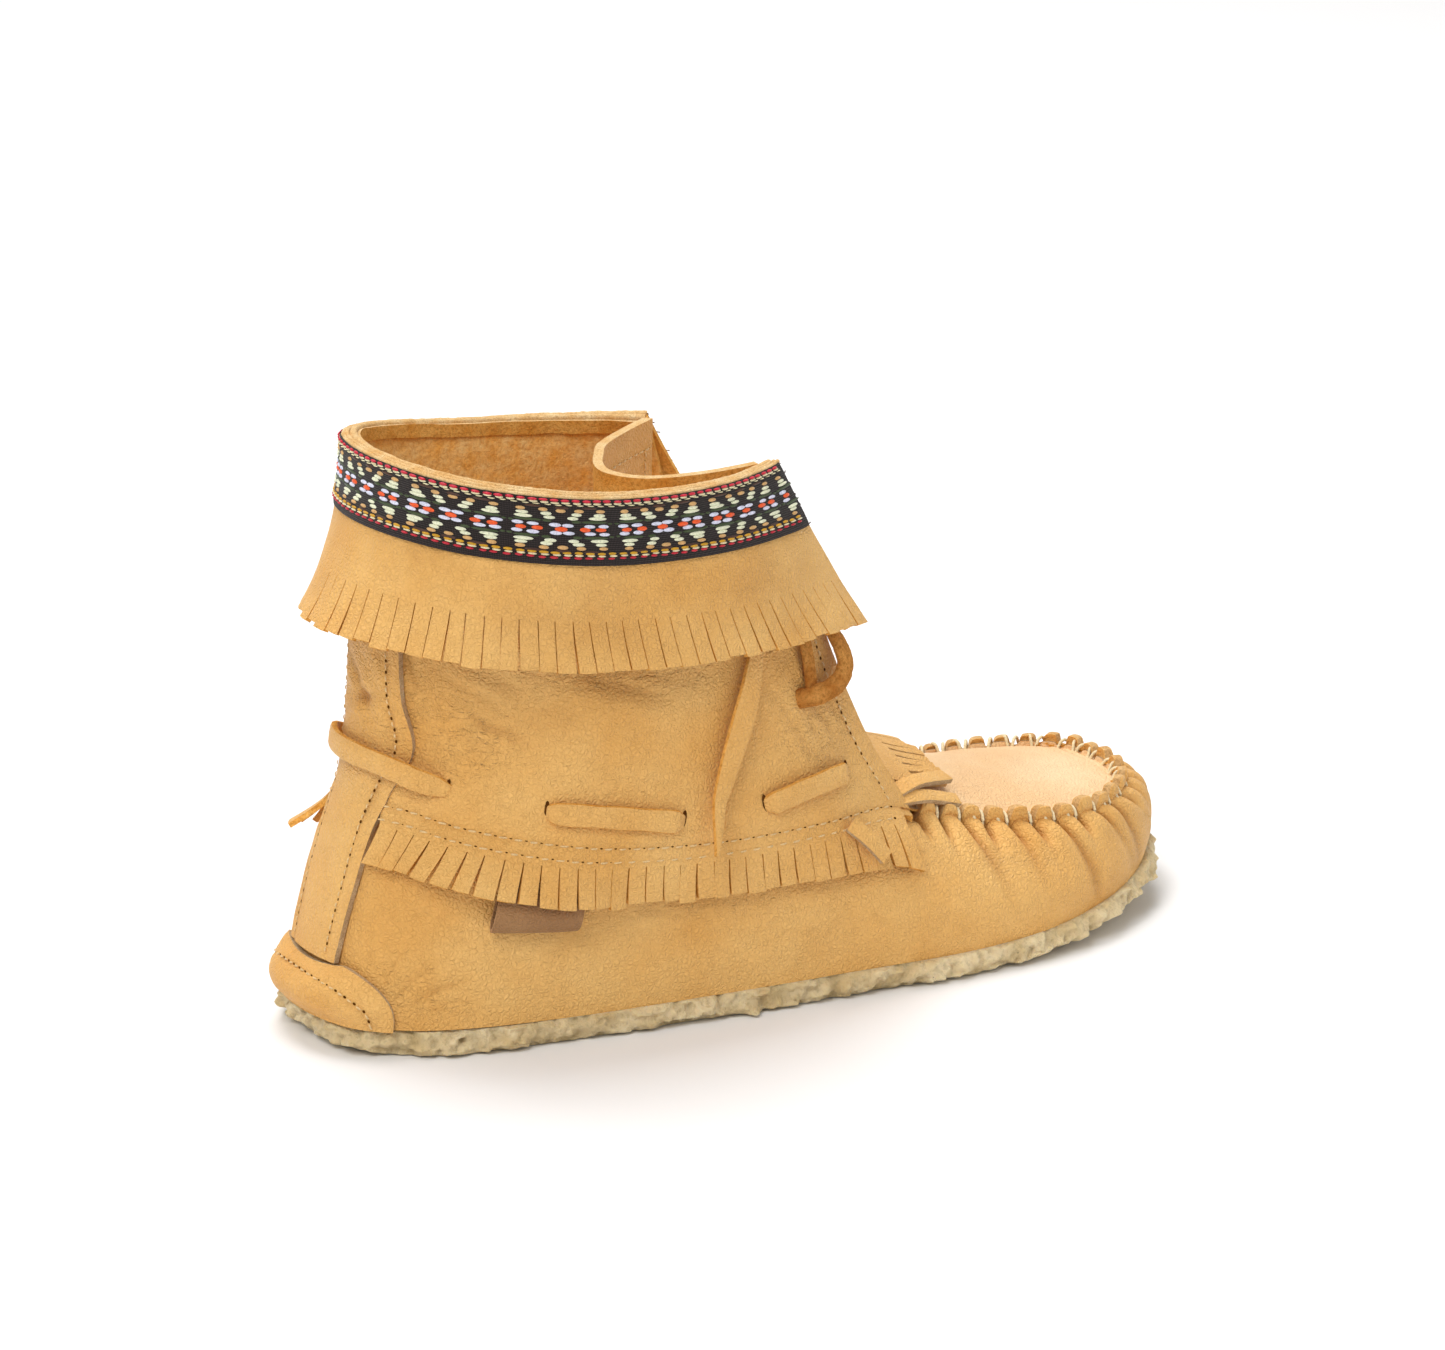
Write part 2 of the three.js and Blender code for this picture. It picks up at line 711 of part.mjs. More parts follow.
// the tab is thickest low at the back and thins out to its edge
function tabFront(i) {
  const u = tabColumns[i % tabColumns.length];
  const r = tabRows[Math.floor(i / tabColumns.length)];
  return tabOut + OVERLAY + TAB_SWELL * Math.sin(Math.PI * r ** 0.75) * (1 - Math.abs(u) ** 2.2);
}

const heelTab = sheetFrom(tabColumns, tabRows, tabAt, tabFront, tabOut);

// Side fringes: the shaft's lower edge, hanging over the wall
const fringeFrom = 0.165;
const fringeTo = 0.98;

function fringeAt(share, drop) {
  const turn = share >= 0 ? share * THROAT : 360 + share * THROAT;
  const foot = wallAt(turn, 0).z;
  const longer = 0.94 + 0.3 * share * share;
  const v = 1 - (drop * longer) / (seamRing(turn).z - foot);
  const near = share > 0 ? Math.exp(-(((wallAt(turn, v).x - 0.07 * LENGTH) / TAG_WIDTH) ** 4)) : 0;
  const lift = (0.9 + 4.3 * near) * clamp((drop - 1) / FRINGE_DROP, 0, 1) ** 0.8;
  return onWall(turn, v, GAP + 0.1 + lift);
}

function fringe(side) {
  const ends = side > 0 ? [fringeFrom, fringeTo] : [-fringeTo, -fringeFrom];
  const columns = combColumns(ends[0], ends[1], (a, b) => fringeAt(a, 3).distanceTo(fringeAt(b, 3)));
  const drops = [FRINGE_DROP, 3.4, 0.6];
  return sheetFrom(columns, drops, fringeAt, OVERLAY, 0, (i, j) => j === 0 && i % 2 === 1);
}

// Thong round the ankle, suede lace, tag
function thongRun(from, to, vFrom, vTo, sag, over) {
  const path = steps(0, 1, 8).map((t) => {
    const share = from + (to - from) * t;
    const v = vFrom + (vTo - vFrom) * t - 4 * sag * t * (1 - t);
    const out = shaftNormal(share, v);
    const along = onShaft(share + 0.01, v, 0).sub(onShaft(share - 0.01, v, 0)).normalize();
    return {
      point: onShaft(share, v, GAP + over(share)),
      across: out.clone().cross(along).normalize(),
      out,
      scale: t < 0.05 || t > 0.95 ? 0.7 : 1,
    };
  });
  return strap(path, THONG_WIDTH, THONG);
}

const overStrip = (share) => {
  const past = clamp((Math.abs(share) - 0.215) / 0.04, 0, 1);
  return (OVERLAY + stripOut + GAP) * (1 - past);
};
const flat = () => 0.1;

const hangPath = steps(0, 1, 6).map((t) => {
  const share = 0.80 - 0.125 * t;
  const v = 0.52 - 0.5 * t;
  const out = shaftNormal(share, Math.max(v, 0.08));
  const point = onShaft(share, v, 1.3 * GAP + 2.6 * t);
  const down = t < 0.95 ? 0 : -0.08 * SEAM_HEIGHT;
  point.z += down;
  point.addScaledVector(out, t < 0.95 ? 0 : OVERLAY + 1.6);
  return { point, across: vec(1, 0, 0.25).normalize(), out, scale: t > 0.95 ? 0.18 : 0.8 - 0.05 * t };
});
const thongEnd = strap(hangPath, THONG_WIDTH, THONG);

function laceSide(side) {
  const flap = [
    [0.88, 0.345, GAP],
    [0.92, 0.37, GAP + 1.1],
    [0.955, 0.42, GAP + 1.1],
    [0.965, 0.47, GAP + 0.9],
    [0.985, 0.53, GAP + 0.4],
  ].map(([share, v, out]) => ({
    point: onShaft(side * share, v, out),
    out: shaftNormal(side * share, v),
  }));
  const edge = flap[flap.length - 1].point;
  const turnIn = [
    { point: edge.clone().add(vec(3.2, side * 1.6, 2)), out: vec(1, -side * 0.5, 0.2).normalize() },
    { point: edge.clone().add(vec(4.4, side * 8, 3)), out: vec(1, -side * 0.1, 0.2).normalize() },
  ];
  return [...flap, ...turnIn];
}

const laceLine = [...laceSide(1), ...laceSide(-1).reverse()];
const lacePath = laceLine.map((s, i) => {
  const a = laceLine[Math.max(0, i - 1)].point;
  const b = laceLine[Math.min(laceLine.length - 1, i + 1)].point;
  const along = b.clone().sub(a).normalize();
  return { point: s.point, across: s.out.clone().cross(along).normalize(), out: s.out };
});
const lace = strap(lacePath, LACE_WIDTH, LACE);

const tagMiddle = 0.075 * LENGTH;
const tagLayer = 1.1;

function tagSection() {
  const turnFor = (x) => {
    let a = 20;
    let b = 90;
    for (let k = 0; k < 30; k += 1) {
      const m = (a + b) / 2;
      if (wallAt(m, 0.6).x < x) a = m;
      else b = m;
    }
    return (a + b) / 2;
  };
  const columns = steps(tagMiddle - TAG_WIDTH / 2, tagMiddle + TAG_WIDTH / 2, 3).map(turnFor);
  const rows = [0.78, 0.72, 0.66, 0.60];
  const front = rows.map((v) => [v, GAP + 1.9 * tagLayer]);
  const fold = [[0.57, GAP + 1.2 * tagLayer]];
  const back = rows.map((v) => [v, GAP + 0.6 * tagLayer]).reverse();
  const loop = [...front, ...fold, ...back];
  return { columns, last: loop.length - 1, f: (turn, k) => onWall(turn, loop[k][0], loop[k][1]) };
}

const tagParts = tagSection();
const tag = sheetFrom(tagParts.columns, steps(0, tagParts.last, tagParts.last), tagParts.f,
  0.45 * tagLayer, -0.45 * tagLayer);

// The boot
const COLOURS = {
  outsole: '#C9BC8C',
  insole: '#C98A3E',
  upper: '#E2B36C',
  tongue: '#DDB074',
  cuff: '#E2B36C',
  braid_band: '#4A3530',
  back_strip: '#E0B06A',
  heel_tab: '#E0B06A',
  side_fringe_outer: '#E2B36C',
  side_fringe_inner: '#E2B36C',
  thong_back: '#DDAE6C',
  thong_outer_middle: '#DDAE6C',
  thong_outer_front: '#DDAE6C',
  thong_inner_middle: '#DDAE6C',
  thong_inner_front: '#DDAE6C',
  thong_end: '#DDAE6C',
  suede_lace: '#A8622A',
  leather_tag: '#9A6440',
};

const PIECES = {
  outsole,
  insole,
  upper,
  tongue,
  cuff,
  braid_band: braid,
  back_strip: backStrip,
  heel_tab: heelTab,
  side_fringe_outer: fringe(1),
  side_fringe_inner: fringe(-1),
  thong_back: thongRun(-0.27, 0.27, 0.09, 0.09, -0.038, overStrip),
  thong_outer_middle: thongRun(0.445, 0.645, 0.082, 0.06, -0.01, flat),
  thong_outer_front: thongRun(0.772, 0.908, 0.078, 0.124, -0.006, flat),
  thong_inner_middle: thongRun(-0.445, -0.645, 0.082, 0.06, -0.01, flat),
  thong_inner_front: thongRun(-0.772, -0.908, 0.078, 0.124, -0.006, flat),
  thong_end: thongEnd,
  suede_lace: lace,
  leather_tag: tag,
};

const group = new THREE.Group();
group.name = 'moccasin_boot';
for (const [name, geometry] of Object.entries(PIECES)) {
  const colour = new THREE.Color(COLOURS[name]);
  const material = new THREE.MeshStandardMaterial({ color: colour, roughness: 0.8 });
  const mesh = new THREE.Mesh(geometry, material);
  mesh.name = name;
  group.add(mesh);
}

export default group;
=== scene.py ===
import math

import bpy
import numpy as np
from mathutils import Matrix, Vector


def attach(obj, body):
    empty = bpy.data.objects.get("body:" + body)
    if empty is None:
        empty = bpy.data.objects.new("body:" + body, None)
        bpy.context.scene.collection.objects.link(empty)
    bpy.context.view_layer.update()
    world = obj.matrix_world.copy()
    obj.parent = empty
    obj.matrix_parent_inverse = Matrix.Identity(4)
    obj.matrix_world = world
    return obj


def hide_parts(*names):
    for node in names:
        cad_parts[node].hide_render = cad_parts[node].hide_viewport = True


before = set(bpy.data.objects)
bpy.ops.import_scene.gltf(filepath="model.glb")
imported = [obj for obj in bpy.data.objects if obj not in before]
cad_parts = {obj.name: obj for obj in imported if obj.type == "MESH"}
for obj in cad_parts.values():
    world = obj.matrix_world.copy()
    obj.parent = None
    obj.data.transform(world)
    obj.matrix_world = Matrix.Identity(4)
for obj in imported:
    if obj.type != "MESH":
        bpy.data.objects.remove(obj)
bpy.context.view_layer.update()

# Driving sizes, as in the solids
LENGTH = 246
BALL_WIDTH = 91
HEEL_REACH = 27
SOLE_THICKNESS = 6.5
TOE_SPRING = 9
HEEL_LIFT = 1.2
SEAM_HEIGHT = 60.5
COLLAR_HEIGHT = 146
LEATHER = 1.8
OVERLAY = 1.5
BRAID = 0.9
SOLE_LIP = 1.6
GAP = 0.35
INSOLE = 2.4
PUCKER_RISE = 3.4
PUCKER_PITCH = 7.0
CUFF_DEPTH = 41.5
CUFF_FLARE = 13.5
CUFF_SLIT = 11.6
STRIP_PITCH = 4.6
CUT = 0.26                # a knife cut between strips, thinner here than in the solids
FRINGE_DROP = 14
STRIP_HALF = 12
TAB_HALF = 25
TAB_HEIGHT = 13.2
TAB_SWELL = 4
THONG_WIDTH = 5.8
THONG = 1.9
LACE_WIDTH = 5
LACE = 2.2
TAG_WIDTH = 20.5
THROAT = 105
RIM_TURN = 140
INNER_REACH = 0.935

# Shape tables, as in the solids: shares of the sizes above
# outsole: turn, outer half width, inner half width
OUTLINE = np.array([
    (0, .80, .80), (15, .74, .72), (30, .63, .59), (60, .467, .43), (90, .465, .40),
    (110, .54, .465), (125, .605, .56), (145, .64, .61), (165, .65, .645), (180, .65, .65)])
# seam on top of the foot wall: turn, outer, inner, rise
SEAM = np.array([
    (0, .50, .50, 1), (20, .50, .50, .992), (30, .55, .53, .95), (50, .545, .51, .862),
    (60, .515, .475, .822), (75, .478, .44, .785), (90, .44, .415, .765), (100, .39, .375, .735),
    (107, .355, .335, .655), (115, .37, .335, .575), (125, .435, .38, .515), (140, .545, .48, .492),
    (155, .63, .58, .492), (168, .72, .69, .498), (180, .75, .75, .502)])
# bulge of the foot wall: turn, flare, height of the shoulder
WALL = np.array([(0, -.04, .45), (60, .03, .50), (90, .03, .62), (120, .03, .82), (150, .042, .85),
                 (180, .072, .82)])
# rim of the collar: turn, outer, inner, rise
COLLAR = np.array([
    (0, .60, .56, 1), (15, .60, .56, .998), (30, .567, .525, .991), (50, .507, .47, .975),
    (80, .458, .418, .949), (110, .438, .412, .935), (128, .436, .421, .932), (140, .446, .429, .932)])
# inward pull of the ankle: share, low, high
WAIST = np.array([(0, .049, .016), (.3, .055, .016), (.6, .033, .011), (1, -.011, 0)])
# crown of the apron: turn, rise
APRON = np.array([(100, .130), (107, .118), (120, .092), (140, .055), (160, .022), (180, 0)])
# flare of the cuff along the rim: share, out
FLARE = np.array([(0, 1), (.2, .80), (.5, .55), (.8, .42), (1, .36)])
# depth of the tongue's bellows: share of the height, back
BELLOWS = np.array([(0, -.06), (.15, 0), (.4, .10), (.7, .19), (1, .265)])
# half width of the back strip: climb, half
STRIP = np.array([(0, .92), (.6, .97), (1, 1), (1.17, 1.34), (1.32, 1.1), (1.6, 1.05), (2, 1.05)])


# Reading the tables
def hermite(s, h, left, slope_left, right, slope_right):
    """Cubic between two ends with given slopes; s runs from 0 to 1 over the step h."""
    return ((2 * s**3 - 3 * s**2 + 1) * left + (s**3 - 2 * s**2 + s) * h * slope_left
            + (3 * s**2 - 2 * s**3) * right + (s**3 - s**2) * h * slope_right)


def read(rows, column, x):
    """Smooth value of one column, level at both ends of the table."""
    key, value = rows[:, 0], rows[:, column]
    x = np.clip(x, key[0], key[-1])
    slope = np.zeros(len(key))
    slope[1:-1] = (value[2:] - value[:-2]) / (key[2:] - key[:-2])
    i = np.clip(np.searchsorted(key, x, side="right") - 1, 0, len(key) - 2)
    h = key[i + 1] - key[i]
    return hermite((x - key[i]) / h, h, value[i], slope[i], value[i + 1], slope[i + 1])


def stack(x, y, z):
    return np.stack(np.broadcast_arrays(x, y, z), -1)


def unit(v):
    return v / np.maximum(np.linalg.norm(v, axis=-1, keepdims=True), 1e-9)


def mirror(turn):
    return np.where(turn <= 180, turn, 360 - turn)


def ease(x, start, end):
    """0 before start, 1 after end, smooth between; start may be the larger."""
    t = np.clip((x - start) / (end - start), 0, 1)
    return t * t * (3 - 2 * t)


# The last: every piece is read from these surfaces
def swing(x):
    return 0.055 * BALL_WIDTH * np.maximum(0, (x - 0.36 * LENGTH) / (0.52 * LENGTH)) ** 1.6


def floor_at(x):
    tip = LENGTH - HEEL_REACH
    start = 0.545 * LENGTH
    toe = np.maximum(0, (x - start) / (tip - start))
    heel = np.maximum(0, (-0.28 * HEEL_REACH - x) / (0.72 * HEEL_REACH))
    return TOE_SPRING * toe**1.9 + HEEL_LIFT * heel**2


def ring(turn, back, front, rows, inset=0.0):
    turn = np.mod(turn, 360)
    phi = mirror(turn)
    outer = turn <= 180
    half = np.sin(np.radians(phi)) * np.where(outer, read(rows, 1, phi), read(rows, 2, phi))
    x = back + inset + (front - back - 2 * inset) * (1 - np.cos(np.radians(phi))) / 2
    y = np.where(outer, -1, 1) * half * (BALL_WIDTH - 2 * inset) + swing(x)
    return stack(x, y, 0)


def sole_ring(turn, inset, up):
    p = ring(turn, -HEEL_REACH, LENGTH - HEEL_REACH, OUTLINE, inset)
    p[..., 2] = floor_at(p[..., 0]) + up
    return p


def seam_ring(turn):
    p = ring(turn, -0.046 * LENGTH, LENGTH - HEEL_REACH - 0.037 * LENGTH, SEAM)
    p[..., 2] = SEAM_HEIGHT * read(SEAM, 3, mirror(np.mod(turn, 360)))
    return p


def outward(turn):
    """Level direction pointing out of the shoe."""
    a = sole_ring(turn - 0.5, SOLE_LIP, 0)
    b = sole_ring(turn + 0.5, SOLE_LIP, 0)
    return unit(stack(b[..., 1] - a[..., 1], a[..., 0] - b[..., 0], 0))


def lerp(a, b, t):
    return a + (b - a) * t


def wall_at(turn, v):
    """Foot wall, v = 0 at the sole, 1 at the seam."""
    turn, v = np.broadcast_arrays(turn, v)
    phi = mirror(np.mod(turn, 360))
    foot = sole_ring(turn, SOLE_LIP, SOLE_THICKNESS + GAP)
    top = seam_ring(turn)
    shoulder = foot + outward(turn) * (BALL_WIDTH * read(WALL, 1, phi))[..., None]
    shoulder[..., 2] = lerp(foot[..., 2], top[..., 2], read(WALL, 2, phi))
    v = v[..., None]
    return foot * (1 - v) ** 2 + shoulder * 2 * v * (1 - v) + top * v * v


def rim_at(share):
    turn = np.abs(share) * RIM_TURN
    reach = np.where(share < 0, INNER_REACH, 1)
    back = -0.019 * LENGTH
    p = ring(np.where(share < 0, 360 - turn, turn), back, back + (0.4275 * LENGTH - back) * reach, COLLAR)
    p[..., 2] = COLLAR_HEIGHT * read(COLLAR, 3, turn)
    return p


def turn_of(share):
    return np.where(share >= 0, share * THROAT, 360 + share * THROAT)


def shaft_inside(share, v):
    turn = turn_of(share)
    foot = seam_ring(turn)
    top = rim_at(share)
    out = outward(turn)
    low = lerp(foot, top, 1 / 3) - out * (BALL_WIDTH * read(WAIST, 1, np.abs(share)))[..., None]
    high = lerp(foot, top, 2 / 3) - out * (BALL_WIDTH * read(WAIST, 2, np.abs(share)))[..., None]
    v = v[..., None]
    u = 1 - v
    return foot * u**3 + low * 3 * v * u * u + high * 3 * v * v * u + top * v**3


def shaft_at(share, v):
    """Shaft, v = 0 at the seam, 1 at the rim; straight on past a flap's front edge."""
    share, v = np.broadcast_arrays(np.asarray(share, float), np.asarray(v, float))
    s = np.clip(share, -1, 1)
    edge = shaft_inside(s, v)
    before = shaft_inside(s - np.sign(s) * 0.02, v)
    return edge + (edge - before) * (np.abs(share - s) / 0.02)[..., None]


def apron_at(turn, w):
    """Apron on top of the foot, w = -1 at the outer seam, 1 at the inner one."""
    turn, w = np.broadcast_arrays(np.asarray(turn, float), np.asarray(w, float))
    p = lerp(seam_ring(turn), seam_ring(360 - turn), ((1 + w) / 2)[..., None])
    p[..., 2] += BALL_WIDTH * read(APRON, 1, turn) * (1 - w * w)
    return p


def back_at(turn, climb):
    """Back of the boot in one run: climb 0 to 1 on the wall, 1 to 2 on the shaft."""
    turn, climb = np.broadcast_arrays(turn, climb)
    on_wall = climb <= 1
    return np.where(on_wall[..., None], wall_at(turn, np.minimum(climb, 1)),
                    shaft_at(turn / THROAT, np.maximum(climb, 1) - 1))


def normal_of(f, u, v, du, dv):
    return unit(np.cross(f(u + du, v) - f(u - du, v), f(u, v + dv) - f(u, v - dv)))


def on_shaft(share, v, out):
    share, v = np.broadcast_arrays(np.asarray(share, float), np.asarray(v, float))
    normal = normal_of(shaft_at, share, np.clip(v, 0.02, 0.98), 0.01, 0.02)
    return shaft_at(share, v) + normal * np.broadcast_to(out, share.shape)[..., None]


def on_wall(turn, v, out):
    turn, v = np.broadcast_arrays(np.asarray(turn, float), np.asarray(v, float))
    normal = normal_of(wall_at, turn, np.clip(v, 0.02, 0.98), 0.5, 0.02)
    return wall_at(turn, v) + normal * np.broadcast_to(out, turn.shape)[..., None]


# Fields on the surfaces
HASH_X, HASH_Y, HASH_Z = 374761393, 668265263, 1274126177
HASH_SEED, HASH_MIX, WORD = 9176, 1103515245, 0xFFFFFFFF


def rumple(p, size, seed):
    """Smooth random field from -1 to 1 whose features measure about size."""
    q = p / size + seed * 7.31
    cell = np.floor(q).astype(np.int64)
    f = q - cell
    f = f * f * (3 - 2 * f)
    total = np.zeros(p.shape[:-1])
    for corner in range(8):
        step = np.array([corner & 1, (corner >> 1) & 1, corner >> 2])
        c = cell + step
        h = c[..., 0] * HASH_X + c[..., 1] * HASH_Y + c[..., 2] * HASH_Z + seed * HASH_SEED
        h = h & WORD
        h = ((h ^ (h >> 13)) * HASH_MIX) & WORD
        value = ((h ^ (h >> 16)) & 0xFFFF) / 32767.5 - 1
        total += value * np.prod(np.where(step == 1, f, 1 - f), axis=-1)
    return total


def troughs(u, w, lines):
    """Listed creases, in mm of depth. Each line is u0 w0 u1 w1 bow depth width:
    a bowed trough between two places, with a soft ridge along both its sides."""
    relief = np.zeros(np.broadcast(u, w).shape)
    for u0, w0, u1, w1, bow, depth, width in lines:
        run = math.hypot(u1 - u0, w1 - w0)
        du, dw = (u1 - u0) / run, (w1 - w0) / run
        t = ((u - u0) * du + (w - w0) * dw) / run
        middle = np.clip(t, 0, 1)
        side = (w - w0) * du - (u - u0) * dw - bow * 4 * middle * (1 - middle)
        fade = np.sin(math.pi * middle) ** 0.7
        trough = np.exp(-(side / width) ** 2)
        ridge = np.exp(-((np.abs(side) - 1.9 * width) / (1.1 * width)) ** 2)
        relief += depth * fade * (0.42 * ridge - trough)
    return relief


def patches(u, w, spots, floor=0.12):
    """How much the hide is wrinkled, 0 to 1: listed spots of u, w, reach in u, reach in w, much."""
    field = np.full(np.broadcast(u, w).shape, floor)
    for u0, w0, du, dw, much in spots:
        field = np.maximum(field, much * np.exp(-((u - u0) / du) ** 2 - ((w - w0) / dw) ** 2))
    return field


# Meshes from arrays
def make(name, points, faces, materials, picks=None, fields=None, uv=None, sharp=42):
    """One mesh from points in mm and faces; fields are numbers per point that materials read."""
    faces = np.asarray(faces)
    used, renamed = np.unique(faces, return_inverse=True)
    faces = renamed.reshape(faces.shape)
    points = np.asarray(points).reshape(-1, 3)[used]
    mesh = bpy.data.meshes.new(name)
    corners = faces.shape[1]
    mesh.vertices.add(len(points))
    mesh.vertices.foreach_set("co", (points * 0.001).astype(np.float32).ravel())
    mesh.loops.add(faces.size)
    mesh.loops.foreach_set("vertex_index", faces.astype(np.int32).ravel())
    mesh.polygons.add(len(faces))
    mesh.polygons.foreach_set("loop_start", np.arange(0, faces.size, corners, dtype=np.int32))
    for material in materials:
        mesh.materials.append(material)
    if picks is not None:
        mesh.polygons.foreach_set("material_index", np.asarray(picks, np.int32))
    for field, values in (fields or {}).items():
        layer = mesh.attributes.new(field, "FLOAT", "POINT")
        layer.data.foreach_set("value", np.asarray(values, np.float32).ravel()[used])
    if uv is not None:
        layer = mesh.uv_layers.new(name="cloth")
        layer.data.foreach_set("uv", np.asarray(uv, np.float32).reshape(-1, 2)[used][faces.ravel()].ravel())
    mesh.update(calc_edges=True)
    mesh.validate()
    mesh.shade_smooth()
    mesh.set_sharp_from_angle(angle=math.radians(sharp))
    piece = bpy.data.objects.new(name, mesh)
    bpy.context.scene.collection.objects.link(piece)
    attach(piece, "root")
    return piece


class Parts:
    """Small shapes gathered into one mesh, each with its material number."""

    def __init__(self):
        self.points, self.faces, self.picks = [], [], []
        self.count = 0

    def take(self, points, faces, picks=0):
        self.points.append(points)
        self.faces.append(faces + self.count)
        self.picks.append(np.broadcast_to(picks, len(faces)))
        self.count += len(points)

    def join(self, name, materials, sharp=80):
        return make(name, np.concatenate(self.points), np.concatenate(self.faces), materials,
                    np.concatenate(self.picks), sharp=sharp)


def cells(rows, columns, keep=None, wrap=False):
    index = np.arange(rows * columns).reshape(rows, columns)
    if wrap:
        index = np.concatenate([index, index[:, :1]], axis=1)
    quads = np.stack([index[:-1, :-1], index[:-1, 1:], index[1:, 1:], index[1:, :-1]], -1).reshape(-1, 4)
    return quads if keep is None else quads[np.asarray(keep).ravel()]


def grid_normals(p, wrap=False):
    along = np.roll(p, -1, 1) - np.roll(p, 1, 1) if wrap else np.gradient(p, axis=1)
    return unit(np.cross(along, np.gradient(p, axis=0)))


def leather_sheet(name, front, back, materials, keep=None, wrap=False, fields=None, uv=None, sharp=42):
    """A cut sheet from the grid of its grain face and the grid of its back, closed round every
    edge. Its materials are the grain face, the back and the cut edge."""
    rows, columns = front.shape[:2]
    quads = cells(rows, columns, keep, wrap)
    count = rows * columns
    edges = np.concatenate([quads[:, [k, (k + 1) % 4]] for k in range(4)])
    key = edges.min(axis=1) * count + edges.max(axis=1)
    _, inverse, times = np.unique(key, return_inverse=True, return_counts=True)
    rim = edges[times[inverse] == 1]
    walls = np.stack([rim[:, 1], rim[:, 0], rim[:, 0] + count, rim[:, 1] + count], -1)
    faces = np.concatenate([quads, quads[:, ::-1] + count, walls])
    picks = np.repeat([0, 1, 2], [len(quads), len(quads), len(walls)])
    points = np.concatenate([front.reshape(-1, 3), back.reshape(-1, 3)])
    both = {k: np.concatenate([np.ravel(v), np.ravel(v)]) for k, v in (fields or {}).items()}
    uvs = None if uv is None else np.concatenate([uv.reshape(-1, 2)] * 2)
    return make(name, points, faces, materials, picks, both, uvs, sharp)


def stamp(shape, faces, at, along, across, out, size):
    """Copies of one small shape as joined arrays: it is set at each place, turned to the three
    directions there and stretched by size."""
    spot = shape[None, :, :] * np.broadcast_to(size, (len(at), 3))[:, None, :]
    points = (at[:, None, :] + spot[..., :1] * along[:, None, :] + spot[..., 1:2] * across[:, None, :]
              + spot[..., 2:] * out[:, None, :])
    shift = (np.arange(len(at)) * len(shape))[:, None, None]
    return points.reshape(-1, 3), (faces[None] + shift).reshape(-1, faces.shape[1])


def dome(around=10, rings=3):
    """Half of a ball on a level base, as quads that meet at the top."""
    angle = np.arange(around) * 2 * math.pi / around
    levels = []
    for k in range(rings + 1):
        lift = math.pi / 2 * k / rings
        r = max(math.cos(lift), 0.04)
        levels.append(stack(r * np.cos(angle), r * np.sin(angle), math.sin(lift)))
    return np.concatenate(levels), cells(rings + 1, around, wrap=True)


def bead(stations=7, sides=8):
    """A stitch that bows up in the middle and dips at both ends; 2 long, 2 wide, 1 high."""
    t = np.linspace(-1, 1, stations)[:, None]
    angle = (np.arange(sides) * 2 * math.pi / sides)[None, :]
    girth = np.sqrt(np.maximum(1 - np.abs(t) ** 3, 0.02))
    height = girth * 0.5 * np.sin(angle) + 0.55 * (1 - t * t) - 0.1
    points = stack(t + 0 * angle, girth * np.cos(angle), height)
    return points.reshape(-1, 3), cells(stations, sides, wrap=True)


def bend(path, sections):
    """A closed strap: at each point of the path a section of points across it and out of it."""
    point, across, out = path
    rows = (point[:, None, :] + across[:, None, :] * sections[..., :1]
            + out[:, None, :] * sections[..., 1:])
    n, m = rows.shape[:2]
    aside, above = (sections[..., k].mean(1)[:, None] for k in (0, 1))
    ends = point + across * aside + out * above
    points = np.concatenate([np.repeat(ends[:1], m, 0), rows.reshape(-1, 3), np.repeat(ends[-1:], m, 0)])
    return points, cells(n + 2, m, wrap=True)


def frame_on(point, out):
    """Directions along a path and across it, where out points off the surface."""
    along = unit(np.gradient(point, axis=0))
    return along, unit(np.cross(out, along))


def round_section(radius, sides, count):
    """Section of a round thread, the same at each of count places."""
    angle = np.arange(sides) * 2 * math.pi / sides
    circle = np.stack([radius * np.cos(angle), radius * np.sin(angle)], -1)
    return np.repeat(circle[None], count, 0)


def strap_section(half, thick, sides=12, power=0.55):
    """Rounded flat section, standing on its base line; half and thick are arrays along the path."""
    angle = np.arange(sides) * 2 * math.pi / sides
    c = np.sign(np.cos(angle)) * np.abs(np.cos(angle)) ** power
    s = np.sign(np.sin(angle)) * np.abs(np.sin(angle)) ** power
    return np.stack([half[:, None] * c, thick[:, None] * (0.5 + 0.5 * s)], -1)


def raw_edges(faces, sides=12):
    """Material numbers of a strap's faces: 1 along its two cut edges, 0 elsewhere."""
    return np.isin(np.arange(len(faces)) % sides, (0, 5, 6, 11)).astype(int)


def smooth_line(knots, count):
    """Curve through the knots (tangents weighted by the gaps), in even steps of its own parameter."""
    gap = np.maximum(np.linalg.norm(np.diff(knots, axis=0), axis=1), 1e-3) ** 0.6
    s = np.concatenate([[0], np.cumsum(gap)])
    slope = np.gradient(knots, s, axis=0)
    t = np.linspace(0, s[-1], count)
    i = np.clip(np.searchsorted(s, t, side="right") - 1, 0, len(s) - 2)
    h = (s[i + 1] - s[i])[:, None]
    return hermite((t - s[i])[:, None] / h, h, knots[i], slope[i], knots[i + 1], slope[i + 1])


def run_along(points):
    """Length of a polyline up to each of its points."""
    return np.concatenate([[0], np.cumsum(np.linalg.norm(np.diff(points, axis=0), axis=1))])


def chain(points, spacing):
    """Even places along a polyline, their directions, and the length run through."""
    run = run_along(points)
    count = max(2, int(round(run[-1] / spacing)) + 1)
    goal = np.linspace(0, run[-1], count)
    at = np.stack([np.interp(goal, run, points[:, k]) for k in range(3)], -1)
    return at, unit(np.gradient(at, axis=0)), goal


